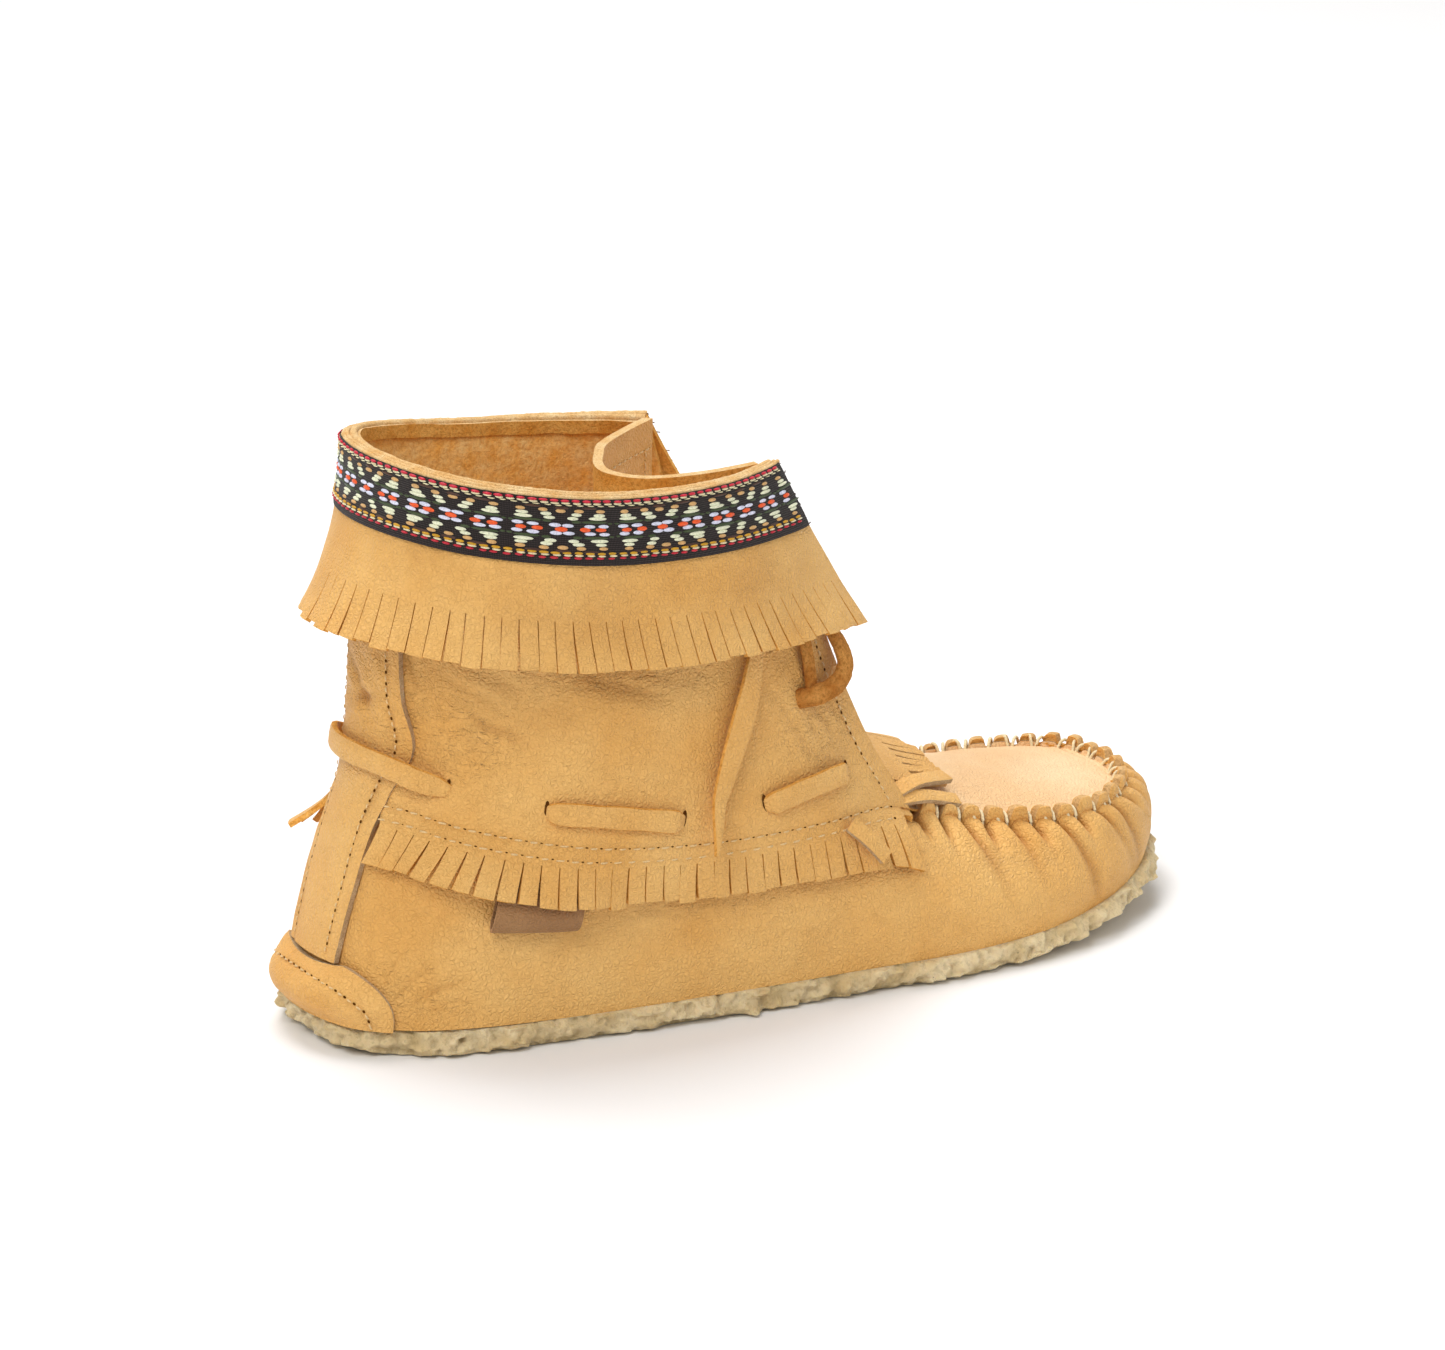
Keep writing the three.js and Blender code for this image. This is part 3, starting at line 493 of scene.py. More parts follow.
MARKS = 1600       # places at which the length of a line is measured


def even(f, start, end, count):
    """Parameters from start to end that are evenly spaced along the line f."""
    marks = np.linspace(start, end, MARKS)
    run = run_along(f(marks))
    return np.interp(np.linspace(0, run[-1], count), run, marks)


def comb(start, end, f, lines, seed, ragged=0.05):
    """Columns of a cut fringe: parameter, strip number and place across the strip, -1 to 1."""
    marks = np.linspace(start, end, MARKS)
    run = run_along(f(marks))
    strips = max(2, int(round(run[-1] / STRIP_PITCH)))
    cuts = np.arange(strips + 1) + ragged * np.random.default_rng(seed).uniform(-1, 1, strips + 1)
    cuts[[0, -1]] = 0, strips
    left = cuts[:-1] * run[-1] / strips + CUT / 2
    right = cuts[1:] * run[-1] / strips - CUT / 2
    left[0], right[-1] = 0, run[-1]
    place = np.linspace(-1, 1, lines)
    goal = left[:, None] + (right - left)[:, None] * (place + 1) / 2
    number = np.repeat(np.arange(strips), lines)
    return np.interp(goal.ravel(), run, marks), number, np.tile(place, strips)


# Materials
def colour(code):
    """A written sRGB colour as linear light."""
    parts = [int(code[i:i + 2], 16) / 255 for i in (1, 3, 5)]
    return tuple(((c + 0.055) / 1.055) ** 2.4 if c > 0.04045 else c / 12.92 for c in parts) + (1.0,)


def per(size):
    """Texture scale whose features measure size mm, in coordinates of metres."""
    return 1000 / size


def add(tree, kind, inputs=None, **settings):
    """Add a node, set its settings and inputs, and link the inputs that are sockets."""
    made = tree.nodes.new("ShaderNode" + kind)
    for key, value in settings.items():
        setattr(made, key, value)
    for key, value in (inputs or {}).items():
        if isinstance(value, bpy.types.NodeSocket):
            tree.links.new(value, made.inputs[key])
        else:
            made.inputs[key].default_value = value
    return made


def surface(name, **inputs):
    """A new material, its node tree and its shader, with values set on the shader's own sockets."""
    material = bpy.data.materials.new(name)
    material.use_nodes = True
    tree = material.node_tree
    shader = tree.nodes["Principled BSDF"]
    for key, value in inputs.items():
        shader.inputs[key.replace("_", " ")].default_value = value
    return material, tree, shader


def tanned_leather(name, base, lit, deep, grain=1.0):
    # Full-grain hide, vegetable tanned and oiled soft. The grain face is matt with a faint waxy
    # gloss, clouded in broad patches and pebbled at about a millimetre, with painted shade in its creases.
    material, tree, shader = surface(name, Roughness=0.56, Specular_IOR_Level=0.38, Sheen_Weight=0.06)
    place = add(tree, "TexCoord").outputs["Object"]
    cloud = add(tree, "TexNoise", {"Vector": place, "Scale": per(30), "Detail": 3.0}).outputs["Fac"]
    cloud = add(tree, "MapRange", {0: cloud, 1: 0.35, 2: 0.68}).outputs[0]
    tone = add(tree, "Mix", {0: cloud, 6: colour(base), 7: colour(lit)}, data_type="RGBA").outputs[2]
    fleck = add(tree, "TexNoise", {"Vector": place, "Scale": per(1.7), "Detail": 5.0,
                                   "Roughness": 0.65}).outputs["Fac"]
    fleck = add(tree, "MapRange", {0: fleck, 1: 0.52, 2: 0.78, 4: 0.14}).outputs[0]
    tone = add(tree, "Mix", {0: fleck, 6: tone, 7: colour(deep)}, data_type="RGBA").outputs[2]
    # painted shade: the relief field darkens the hide towards its deep tone where it sinks into creases and
    # folds
    relief = add(tree, "Attribute", attribute_name="relief").outputs["Fac"]
    fold_shade = add(tree, "MapRange", {0: relief, 1: -0.12, 2: -1.3, 4: 0.75}).outputs[0]
    tone = add(tree, "Mix", {0: fold_shade, 6: tone, 7: colour(deep)}, data_type="RGBA").outputs[2]
    # fine wrinkles where the hide has been bent: thin valleys, drawn out along the boot
    drawn = add(tree, "VectorMath", {0: place, 1: (1.0, 1.0, 2.1)}, operation="MULTIPLY").outputs[0]
    crepe = add(tree, "TexNoise", {"Vector": drawn, "Scale": per(4.2), "Detail": 3.0, "Roughness": 0.5,
                                   "Distortion": 0.5}).outputs["Fac"]
    valley = add(tree, "Math", {0: crepe, 1: 0.5}, operation="SUBTRACT").outputs[0]
    valley = add(tree, "Math", {0: valley}, operation="ABSOLUTE").outputs[0]
    valley = add(tree, "MapRange", {0: valley, 1: 0.07, 2: 0.0}).outputs[0]
    bent_hide = add(tree, "Attribute", attribute_name="wrinkle").outputs["Fac"]
    valley = add(tree, "Math", {0: valley, 1: bent_hide}, operation="MULTIPLY").outputs[0]
    # pebble of the grain: cells of the hide with fine pores between them
    warp = add(tree, "TexNoise", {"Vector": place, "Scale": per(2.2), "Detail": 2.0}).outputs["Color"]
    bent = add(tree, "VectorMath", {0: warp, "Scale": 0.0011}, operation="SCALE").outputs[0]
    bent = add(tree, "VectorMath", {0: place, 1: bent}, operation="ADD").outputs[0]
    cell = add(tree, "TexVoronoi", {"Vector": bent, "Scale": per(1.1)}, feature="DISTANCE_TO_EDGE")
    pebble = add(tree, "MapRange", {0: cell.outputs["Distance"], 1: 0.0, 2: 0.30}).outputs[0]
    pore = add(tree, "TexNoise", {"Vector": place, "Scale": per(0.5), "Detail": 3.0}).outputs["Fac"]
    height = add(tree, "Math", {0: pore, 1: 0.8, 2: pebble}, operation="MULTIPLY_ADD").outputs[0]
    soft = add(tree, "TexNoise", {"Vector": place, "Scale": per(7), "Detail": 4.0,
                                  "Roughness": 0.6}).outputs["Fac"]
    low = add(tree, "Bump", {"Height": soft, "Distance": 0.0007, "Strength": 0.55}).outputs[0]
    low = add(tree, "Bump", {"Height": valley, "Distance": 0.00032, "Strength": 0.8, "Normal": low},
              invert=True).outputs[0]
    fine = add(tree, "Bump", {"Height": height, "Distance": 0.00023 * grain, "Strength": 0.95,
                              "Normal": low}).outputs[0]
    # painted shade: a little deep tone in the valleys of the fine wrinkles
    wrinkle_valley_shade = add(tree, "Math", {0: valley, 1: 0.06}, operation="MULTIPLY").outputs[0]
    tone = add(tree, "Mix", {0: wrinkle_valley_shade, 6: tone, 7: colour(deep)}, data_type="RGBA").outputs[2]
    pit = add(tree, "MapRange", {0: height, 1: 0.80, 2: 0.30, 4: 0.12}).outputs[0]
    tone = add(tree, "Mix", {0: pit, 6: tone, 7: colour(deep)}, data_type="RGBA").outputs[2]
    tree.links.new(tone, shader.inputs["Base Color"])
    tree.links.new(fine, shader.inputs["Normal"])
    gloss = add(tree, "MapRange", {0: cloud, 3: 0.60, 4: 0.50}).outputs[0]
    tree.links.new(gloss, shader.inputs["Roughness"])
    return material


def napped_suede(name, base, lit, deep, fibre=0.8):
    # Flesh side of the hide, buffed to a nap. It has no gloss, a bright fringe of fibres at a
    # glancing view, and patches where the nap lies another way.
    material, tree, shader = surface(name, Roughness=0.95, Specular_IOR_Level=0.12, Sheen_Weight=0.45,
                                     Sheen_Roughness=0.6)
    shader.inputs["Sheen Tint"].default_value = colour(lit)
    place = add(tree, "TexCoord").outputs["Object"]
    brush = add(tree, "TexNoise", {"Vector": place, "Scale": per(5), "Detail": 4.0,
                                   "Roughness": 0.6}).outputs["Fac"]
    brush = add(tree, "MapRange", {0: brush, 1: 0.34, 2: 0.66}).outputs[0]
    tone = add(tree, "Mix", {0: brush, 6: colour(base), 7: colour(lit)}, data_type="RGBA").outputs[2]
    nap = add(tree, "TexNoise", {"Vector": place, "Scale": per(fibre), "Detail": 4.0,
                                 "Roughness": 0.7}).outputs["Fac"]
    dark = add(tree, "MapRange", {0: nap, 1: 0.56, 2: 0.36, 4: 0.55}).outputs[0]
    tone = add(tree, "Mix", {0: dark, 6: tone, 7: colour(deep)}, data_type="RGBA").outputs[2]
    tree.links.new(tone, shader.inputs["Base Color"])
    bump = add(tree, "Bump", {"Height": nap, "Distance": 0.0007, "Strength": 0.9}).outputs[0]
    tree.links.new(bump, shader.inputs["Normal"])
    return material


def crepe_rubber(name):
    # Natural crepe: crumbs of raw latex pressed into a sheet. It is waxy and lets some light
    # in, paler on its crumbs and duller in the pits between them, with a few dark specks and
    # painted shade in the hollows of its torn side.
    material, tree, shader = surface(name, Roughness=0.62, Specular_IOR_Level=0.35, Subsurface_Weight=0.35,
                                     Subsurface_Scale=0.002)
    shader.inputs["Subsurface Radius"].default_value = (1.0, 0.85, 0.5)
    place = add(tree, "TexCoord").outputs["Object"]
    patch = add(tree, "TexNoise", {"Vector": place, "Scale": per(11), "Detail": 4.0}).outputs["Fac"]
    patch = add(tree, "MapRange", {0: patch, 1: 0.36, 2: 0.64}).outputs[0]
    tone = add(tree, "Mix", {0: patch, 6: colour("#D8BE8C"), 7: colour("#EEDAB0")},
               data_type="RGBA").outputs[2]
    crumb = add(tree, "TexNoise", {"Vector": place, "Scale": per(1.5), "Detail": 5.0,
                                   "Roughness": 0.62}).outputs["Fac"]
    pit = add(tree, "MapRange", {0: crumb, 1: 0.50, 2: 0.34, 4: 0.35}).outputs[0]
    tone = add(tree, "Mix", {0: pit, 6: tone, 7: colour("#97825A")}, data_type="RGBA").outputs[2]
    # painted shade: darker where the relief of the torn side dips into hollows
    relief = add(tree, "Attribute", attribute_name="relief").outputs["Fac"]
    hollow = add(tree, "MapRange", {0: relief, 1: 0.0, 2: -1.5, 4: 0.5}).outputs[0]
    tone = add(tree, "Mix", {0: hollow, 6: tone, 7: colour("#A48C5E")}, data_type="RGBA").outputs[2]
    speck = add(tree, "TexVoronoi", {"Vector": place, "Scale": per(5)}).outputs["Distance"]
    speck = add(tree, "MapRange", {0: speck, 1: 0.06, 2: 0.03, 4: 0.6}).outputs[0]
    tone = add(tree, "Mix", {0: speck, 6: tone, 7: colour("#5A4A2C")}, data_type="RGBA").outputs[2]
    tree.links.new(tone, shader.inputs["Base Color"])
    bump = add(tree, "Bump", {"Height": crumb, "Distance": 0.0014, "Strength": 1.0}).outputs[0]
    tree.links.new(bump, shader.inputs["Normal"])
    return material


PLY = 0.45             # width of a thread's plies, in mm
RIB, WEFT = 0.62, 0.8  # pitch of the ribbon's ribs and of its weft, in mm


def spun_thread(name, code):
    # Twisted thread: fine plies run round it, so its light breaks up into short glints.
    material, tree, shader = surface(name, Roughness=0.5, Specular_IOR_Level=0.35, Sheen_Weight=0.15)
    place = add(tree, "TexCoord").outputs["Object"]
    ply = add(tree, "TexNoise", {"Vector": place, "Scale": per(PLY), "Detail": 2.0}).outputs["Fac"]
    # painted shade and glints: the thread's colour is scaled darker and brighter along its plies
    shade = add(tree, "MapRange", {0: ply, 1: 0.3, 2: 0.6, 3: 0.78, 4: 1.05}).outputs[0]
    tone = add(tree, "VectorMath", {0: colour(code)[:3], "Scale": shade}, operation="SCALE").outputs[0]
    tree.links.new(tone, shader.inputs["Base Color"])
    bump = add(tree, "Bump", {"Height": ply, "Distance": 0.00012, "Strength": 0.7}).outputs[0]
    tree.links.new(bump, shader.inputs["Normal"])
    return material


def ribbed_ribbon(name):
    # Ground of the trim, woven on a ribbon loom: near-black warp in close upright ribs. The
    # real ribs are 0.4 mm apart and are drawn at 0.62 mm so that they show.
    material, tree, shader = surface(name, Roughness=0.78, Specular_IOR_Level=0.3, Sheen_Weight=0.12)
    cloth = add(tree, "UVMap", uv_map="cloth").outputs[0]
    rib = add(tree, "TexWave", {"Vector": cloth, "Scale": 1 / RIB / 2, "Distortion": 0.6,
                                "Detail": 1.0}, wave_profile="SIN").outputs["Fac"]
    weft = add(tree, "TexWave", {"Vector": cloth, "Scale": 1 / WEFT / 2, "Distortion": 1.2},
               bands_direction="Y", wave_profile="SIN").outputs["Fac"]
    weave = add(tree, "Math", {0: rib, 1: weft}, operation="MULTIPLY").outputs[0]
    tone = add(tree, "Mix", {0: weave, 6: colour("#15100F"), 7: colour("#40322F")},
               data_type="RGBA").outputs[2]
    tree.links.new(tone, shader.inputs["Base Color"])
    bump = add(tree, "Bump", {"Height": weave, "Distance": 0.0002, "Strength": 0.9}).outputs[0]
    tree.links.new(bump, shader.inputs["Normal"])
    return material


def shadowed_hide(name, code):
    # Hide inside a pierced hole or a knife slit. No light gets in, so it is matt and dark.
    material, tree, shader = surface(name, Roughness=0.95, Specular_IOR_Level=0.05)
    place = add(tree, "TexCoord").outputs["Object"]
    noise = add(tree, "TexNoise", {"Vector": place, "Scale": per(0.8)}).outputs["Fac"]
    tone = add(tree, "Mix", {0: noise, 6: colour(code), 7: colour("#0C0704")},
               data_type="RGBA").outputs[2]
    tree.links.new(tone, shader.inputs["Base Color"])
    return material


leather = tanned_leather("oiled_grain_leather", "#E0A757", "#EBBA6E", "#A66A24")
# a paler copy of the same hide for the apron, which faces up: painted light on the top of the foot
lit_apron_leather = tanned_leather("oiled_grain_leather_painted_lit", "#EBC08C", "#F4D4A6", "#C08C54", grain=0.9)
suede = napped_suede("suede_flesh_side", "#E09A40", "#F4BC66", "#A3621E")
# a cut edge shows the raw fibres of the hide, so it has the nap of suede in paler tones
cut_edge = napped_suede("raw_cut_edge_of_hide", "#C09C74", "#DCC29A", "#8E6A42", fibre=0.5)
lace_suede = napped_suede("split_suede_lace", "#B06C2A", "#D89A50", "#74400F")
rim_edge = napped_suede("raw_rim_edge", "#EAB874", "#F8DAA6", "#B57F42", fibre=0.5)
# a brighter copy of the flesh-side suede for the inside of the shaft: painted light where the lamps reach in
# little
lit_lining_suede = napped_suede("brushed_lining_suede_painted_lit", "#FDBB5C", "#FFD892", "#C9822E", fibre=1.2)
tab_edge = napped_suede("skived_tab_edge", "#D6A468", "#EDC68E", "#9E713C", fibre=0.6)
tag_edge = napped_suede("dyed_tag_edge", "#B5845A", "#CBA078", "#7A5230", fibre=0.5)
insole_suede = napped_suede("suede_insole", "#9C6A2C", "#C18D4A", "#6A431A")
tag_leather = tanned_leather("dyed_tag_leather", "#8C6138", "#A0764A", "#5A391A", grain=0.8)
rubber = crepe_rubber("natural_crepe_rubber")
seam_thread = spun_thread("waxed_seam_thread", "#E2C088")
whip_thread = spun_thread("waxed_whip_thread", "#E8D6AC")
# dark domes set into each stitch's pierced hole: painted shade
needle_hole_shade = shadowed_hide("pierced_needle_hole", "#7A4A18")
# dark domes over the knife slits at the ends of the thongs and the lace: painted shade
slit_shade = shadowed_hide("knife_slit_in_shadow", "#7A4A1C")
ribbon = ribbed_ribbon("woven_ribbon_ground")
# threads of the trim's floats, each a twisted yarn in its own colour
FLOATS = {
    "red": spun_thread("red_trim_thread", "#C21B33"),
    "cream": spun_thread("cream_trim_thread", "#E6DDB4"),
    "pale": spun_thread("pale_green_trim_thread", "#E4E6C8"),
    "white": spun_thread("cool_white_trim_thread", "#DADCF0"),
    "orange": spun_thread("orange_trim_thread", "#F05A20"),
    "green": spun_thread("dark_green_trim_thread", "#3C4A28"),
    "tan": spun_thread("tan_trim_thread", "#D2A66C"),
    "mustard": spun_thread("mustard_trim_thread", "#CF9A20"),
    "brown": spun_thread("brown_trim_thread", "#4A2D20"),
}


# Crepe sole and insole
def capped(name, rings, material, fields=None):
    """A closed plate from stacked rings; the first and last are closed from side to side."""
    layers, n = rings.shape[:2]
    side = cells(layers, n, wrap=True)
    i = np.arange(n // 2)
    across = np.stack([i, i + 1, (n - i - 1) % n, (n - i) % n], -1)
    faces = np.concatenate([side, across[:, ::-1], across + (layers - 1) * n])
    return make(name, rings, faces, [material], fields=fields, sharp=60)


SPREAD = 3.4       # worn crepe and the wall's foot spread this far past the solids' lines


def spread(turn):
    """Share of the spread round the foot: none at the heel, full along the sides."""
    side = 180 - np.abs(turn - 180)
    return ease(side, 25, 70) * (1 - 0.8 * ease(side, 135, 172))


def crepe_sole():
    turns = even(lambda t: sole_ring(t, 0, 0), 0, 360, 861)[:-1]
    # the edge's section: distance in from the outline, and height
    profile = [(30, 0), (12, 0), (5, 0), (3.2, 0.1), (2.3, .45), (1.6, .9), (1.0, 1.35), (.6, 1.8),
               (.35, 2.3), (.2, 2.8), (.1, 3.3), (0, 3.8), (0, 4.3), (0, 4.8), (.1, 5.25), (.3, 5.7),
               (.6, 6.15), (1.0, 6.45), (1.6, 6.5), (3.2, 6.5), (12, 6.5), (30, 6.5)]
    rows, pits = [], []
    out = outward(turns)
    for inset, up in profile:
        p = sole_ring(turns, inset, up)
        side = ease(up, 0.05, 0.8) if up < 6 else ease(inset, 1.7, 0.9)
        torn = 0.8 * rumple(p, 7.0, 3) + 0.85 * rumple(p, 2.9, 5) + 0.8 * rumple(p, 1.6, 8)
        wide = SPREAD * spread(turns) * ease(inset, 11, 2)
        wide = wide + 0.9 * (1 - up / SOLE_THICKNESS) * side
        p = p + out * (1.6 * torn * side + wide)[..., None]
        ragged = np.maximum(0, rumple(p, 3.4, 11)) * 1.7 + np.maximum(0, rumple(p, 9, 14)) * 1.3
        p[..., 2] += ragged * ease(up, 3.0, 0.4) * ease(inset, 2.4, 1.0)
        p[..., 2] -= np.maximum(0, rumple(p, 2.3, 17)) * 0.45 * side * (up > 5)
        rows.append(p)
        # the crepe's material paints shade into the hollows of this relief
        pits.append(torn * side)
    piece = capped("crepe_sole", np.stack(rows), rubber, {"relief": np.stack(pits)})
    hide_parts("outsole")


def insole():
    turns = even(lambda t: sole_ring(t, 6, 0), 0, 360, 241)[:-1]
    inset = SOLE_LIP + LEATHER + 3 * GAP
    low = SOLE_THICKNESS + GAP
    rows = [sole_ring(turns, i, low + u) for i, u in
            ((inset, 0), (inset, INSOLE * 0.8), (inset + 0.5, INSOLE), (inset + 8, INSOLE + 0.25),
             (inset + 20, INSOLE + 0.3))]
    piece = capped("suede_insole", np.stack(rows), insole_suede)
    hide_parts("insole")


# Gathered seam: phase along it, valleys between the tabs
PUCKER_FROM, PUCKER_TO = THROAT + 2.5, 360 - THROAT - 2.5
_marks = np.linspace(PUCKER_FROM, PUCKER_TO, 2400)
_run = run_along(seam_ring(_marks))
FOLDS = int(_run[-1] // PUCKER_PITCH) + 1
_rng = np.random.default_rng(4)
# reach of each valley down the wall, in mm, from the outer throat round the toe
FOLD_REACH = np.resize([9, 11, 16, 9, 13, 10, 21, 9, 12, 15, 8, 10, 12, 9, 8, 11, 9, 13], FOLDS)
FOLD_SLANT = _rng.uniform(-0.22, 0.16, FOLDS)
TAB_TALL = _rng.uniform(0.72, 1.12, FOLDS + 1)
TAB_LEAN = _rng.uniform(-0.6, 0.8, FOLDS + 1)
TAB_SHIFT = _rng.uniform(-0.07, 0.07, FOLDS + 1)


def seam_run(turn):
    return np.interp(np.mod(turn, 360), _marks, _run, left=-50, right=_run[-1] + 50)


def tab_height(turn):
    """Height of the gathered tabs over the seam, and the tab's own number."""
    q = seam_run(turn)
    number = np.clip((q // PUCKER_PITCH).astype(int), 0, FOLDS)
    phase = q / PUCKER_PITCH - q // PUCKER_PITCH
    inside = (q > 0.2) & (q < _run[-1] - 0.2)
    raised = ease(np.abs(phase - 0.51 - TAB_SHIFT[number]), 0.43, 0.25) * inside
    return raised, number, inside


def fold_relief(turn, down):
    """Gathers of the wall below the seam, down mm under it."""
    q = seam_run(turn)
    relief = np.zeros(np.broadcast(q, down).shape)
    for k in range(FOLDS + 1):
        j = min(k, FOLDS - 1)
        aside = q - k * PUCKER_PITCH - FOLD_SLANT[j] * down
        near = np.abs(aside) < 9
        width = 0.75 + 0.055 * down
        pinch = 2.4 * np.exp(-(aside / 0.95) ** 2) * np.exp(-(down / 4.6) ** 2)
        fall = 1.9 * np.exp(-(np.abs(aside) / (width + 0.5)) ** 1.6) * np.exp(-(down / FOLD_REACH[j]) ** 2)
        relief -= (pinch + fall) * near
    plump = 1.2 * np.exp(-(down / 9.0) ** 2) * ((q > 0) & (q < _run[-1]))
    return relief + plump


# creases of the foot wall: turn, share of the height, and the same again, bow, depth, width
WALL_CREASES = [
    (24, .10, 33, .34, 1.5, .5, 1.1), (26, .08, 39, .26, 1.2, .45, 1.0), (29, .06, 42, .16, 1, .4, .9),
    (22, .16, 27, .42, 1, .4, 1.0), (31, .20, 44, .34, -1, .35, 1.1), (68, .62, 77, .50, 1.4, .35, 1.0),
    (73, .64, 80, .56, -1.2, .3, .9), (62, .58, 72, .46, 1.8, .28, 1.2), (84, .30, 92, .22, .8, .2, .8),
    (98, .66, 104, .40, 1.5, .45, 1.4), (102, .74, 106, .52, 1, .4, 1.1),
]


WALL_RUN = 2.2       # mm round the wall for each degree of turn, for placing creases
WALL_RISE = 50       # mm from sole to seam, for placing creases
TAB_ROWS = (0.18, 0.4, 0.62, 0.84, 0.97, 1.0)
TAB_DEEP = 2.3       # thickness of a gathered tab, grain to grain


def foot_wall():
    rear = even(seam_ring, 0, PUCKER_FROM, 96)[:-1]
    gather = np.interp(np.arange(0, _run[-1], 0.5), _run, _marks)
    front = even(seam_ring, PUCKER_TO, 360, 96)[:-1]
    turns = np.concatenate([rear, gather, front])
    v = np.concatenate([np.linspace(0, 0.45, 16)[:-1], 1 - 0.55 * np.linspace(1, 0, 27) ** 1.25])
    t, vv = np.meshgrid(turns, v)
    base = wall_at(t, vv)
    normal = grid_normals(base, wrap=True)
    tall = np.linalg.norm(wall_at(t, 1.0 + 0 * t) - wall_at(t, 0 * t), axis=-1)
    down = (1 - vv) * tall
    run = WALL_RUN * np.where(t > 180, t - 360, t)
    lines = [(WALL_RUN * a, b * WALL_RISE, WALL_RUN * c, d * WALL_RISE, *rest)
             for a, b, c, d, *rest in WALL_CREASES]
    relief = fold_relief(t, down) + troughs(run, vv * WALL_RISE, lines)
    relief += 0.25 * rumple(base, 16, 21) + 0.12 * rumple(base, 6, 22)
    relief *= ease(vv, -0.02, 0.12)
    bent = patches(np.where(t > 180, 360 - t, t), vv, [
        (28, .18, 14, .22, 0.6), (75, .62, 16, .14, .6), (50, .5, 25, .2, .35), (100, .7, 8, .2, .9),
        (120, .6, 10, .25, .5), (150, .5, 20, .3, .25)])
    raised, number, inside = tab_height(turns)
    # the far side's tabs are lower and drawn closer together
    drawn = ease(turns, 188, 225)
    raised = raised + 0.5 * (1 - raised) * drawn * inside
    tuck = -1.9 * ease(vv, 0.86, 1.0) * ~inside
    bulge = SPREAD * spread(t) * np.exp(-(np.maximum(0, vv - 0.1) / 0.28) ** 2)
    wall = base + normal * (relief + tuck + bulge)[..., None]
    back = wall - normal * LEATHER
    top = wall[-1]
    level = outward(turns)
    height = (PUCKER_RISE * TAB_TALL[number] * (1 - 0.42 * drawn) + 0.5) * raised - 0.5
    height = np.where(inside, height, 0)
    lean = TAB_LEAN[number]
    rows, rows_back = [], []
    for r in TAB_ROWS:
        out = (0.55 * math.sin(math.pi * min(1, r * 1.1)) * raised + 0.5 * lean * r * raised)
        rise = stack(0 * height, 0 * height, height * r)
        trim = 0.25 if r == 1.0 else 0
        rows.append(top + rise + level * (out - trim)[:, None])
        rows_back.append(top + rise + level * (out - TAB_DEEP + trim)[:, None])
    outer = np.concatenate([wall, np.stack(rows)])
    inner = np.concatenate([back, np.stack(rows_back)])
    # painted shade: the tab rows take 0.4 of the seam's relief between the tabs, so the hide there reads
    # darker
    shade = np.concatenate([relief, np.repeat((0.4 * relief[-1] * (1 - raised))[None], len(TAB_ROWS), 0)])
    bent = np.concatenate([bent, np.zeros((len(TAB_ROWS), len(turns)))])
    piece = leather_sheet("gathered_foot_wall", outer, inner, [leather, leather, tab_edge], wrap=True,
                          fields={"relief": shade, "wrinkle": bent})
    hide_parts("upper")


def apron():
    """Smooth plug on top of the foot; its edge turns up along the tabs."""
    turns = np.concatenate([even(seam_ring, THROAT, PUCKER_FROM, 8)[:-1],
                            np.interp(np.arange(0, _run[-1] / 2 + 30, 0.7), _run, _marks)])
    turns = turns[turns < 179.4]
    mid = np.linspace(-1, 1, 61)
    t, w = np.meshgrid(turns, mid)
    seam_out, seam_in = seam_ring(turns), seam_ring(360 - turns)
    width = np.linalg.norm(seam_out - seam_in, axis=-1)
    inset = 3.1
    w = w * np.maximum(0.05, 1 - 2 * inset / width)[None, :]
    body = apron_at(t, w)
    normal = -grid_normals(body)
    normal *= np.sign(normal[..., 2:])
    near_toe = ease(t, 150, 172)
    ripple = 0.42 * np.sin(t * 1.5 + 2 * rumple(body, 8, 31)) * near_toe * (0.4 + 0.6 * np.abs(w))
    ripple += 0.3 * rumple(body, 18, 32) + 0.1 * rumple(body, 6, 33)
    body = body + normal * ripple[..., None]
    sides = []
    for edge, turn in ((seam_out, turns), (seam_in, 360 - turns)):
        raised = tab_height(turn)[0]
        level = outward(turn)
        lifts = []
        for back, up in ((2.85, .4), (2.6, 1.1), (2.5, 1.9)):
            tall = up * (0.45 + 0.55 * raised)
            lifts.append(edge - level * back + stack(0 * tall, 0 * tall, tall))
        sides.append(np.stack(lifts))
    outer = np.concatenate([sides[0][::-1], body, sides[1]])
    outer = outer[::-1]
    normal = grid_normals(outer)
    flip = np.sign(normal[len(outer) // 2, 10, 2])
    if flip < 0:
        outer = outer[::-1]
        normal = grid_normals(outer)
    inner = outer - normal * LEATHER * 0.8
    rows = len(outer)
    shade = np.zeros(outer.shape[:2])
    shade[3:rows - 3] = ripple if flip < 0 else ripple[::-1]
    shade[:2] = shade[-2:] = -0.1
    piece = leather_sheet("apron", outer, inner, [lit_apron_leather, suede, cut_edge], fields={"relief": shade})
    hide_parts("upper")


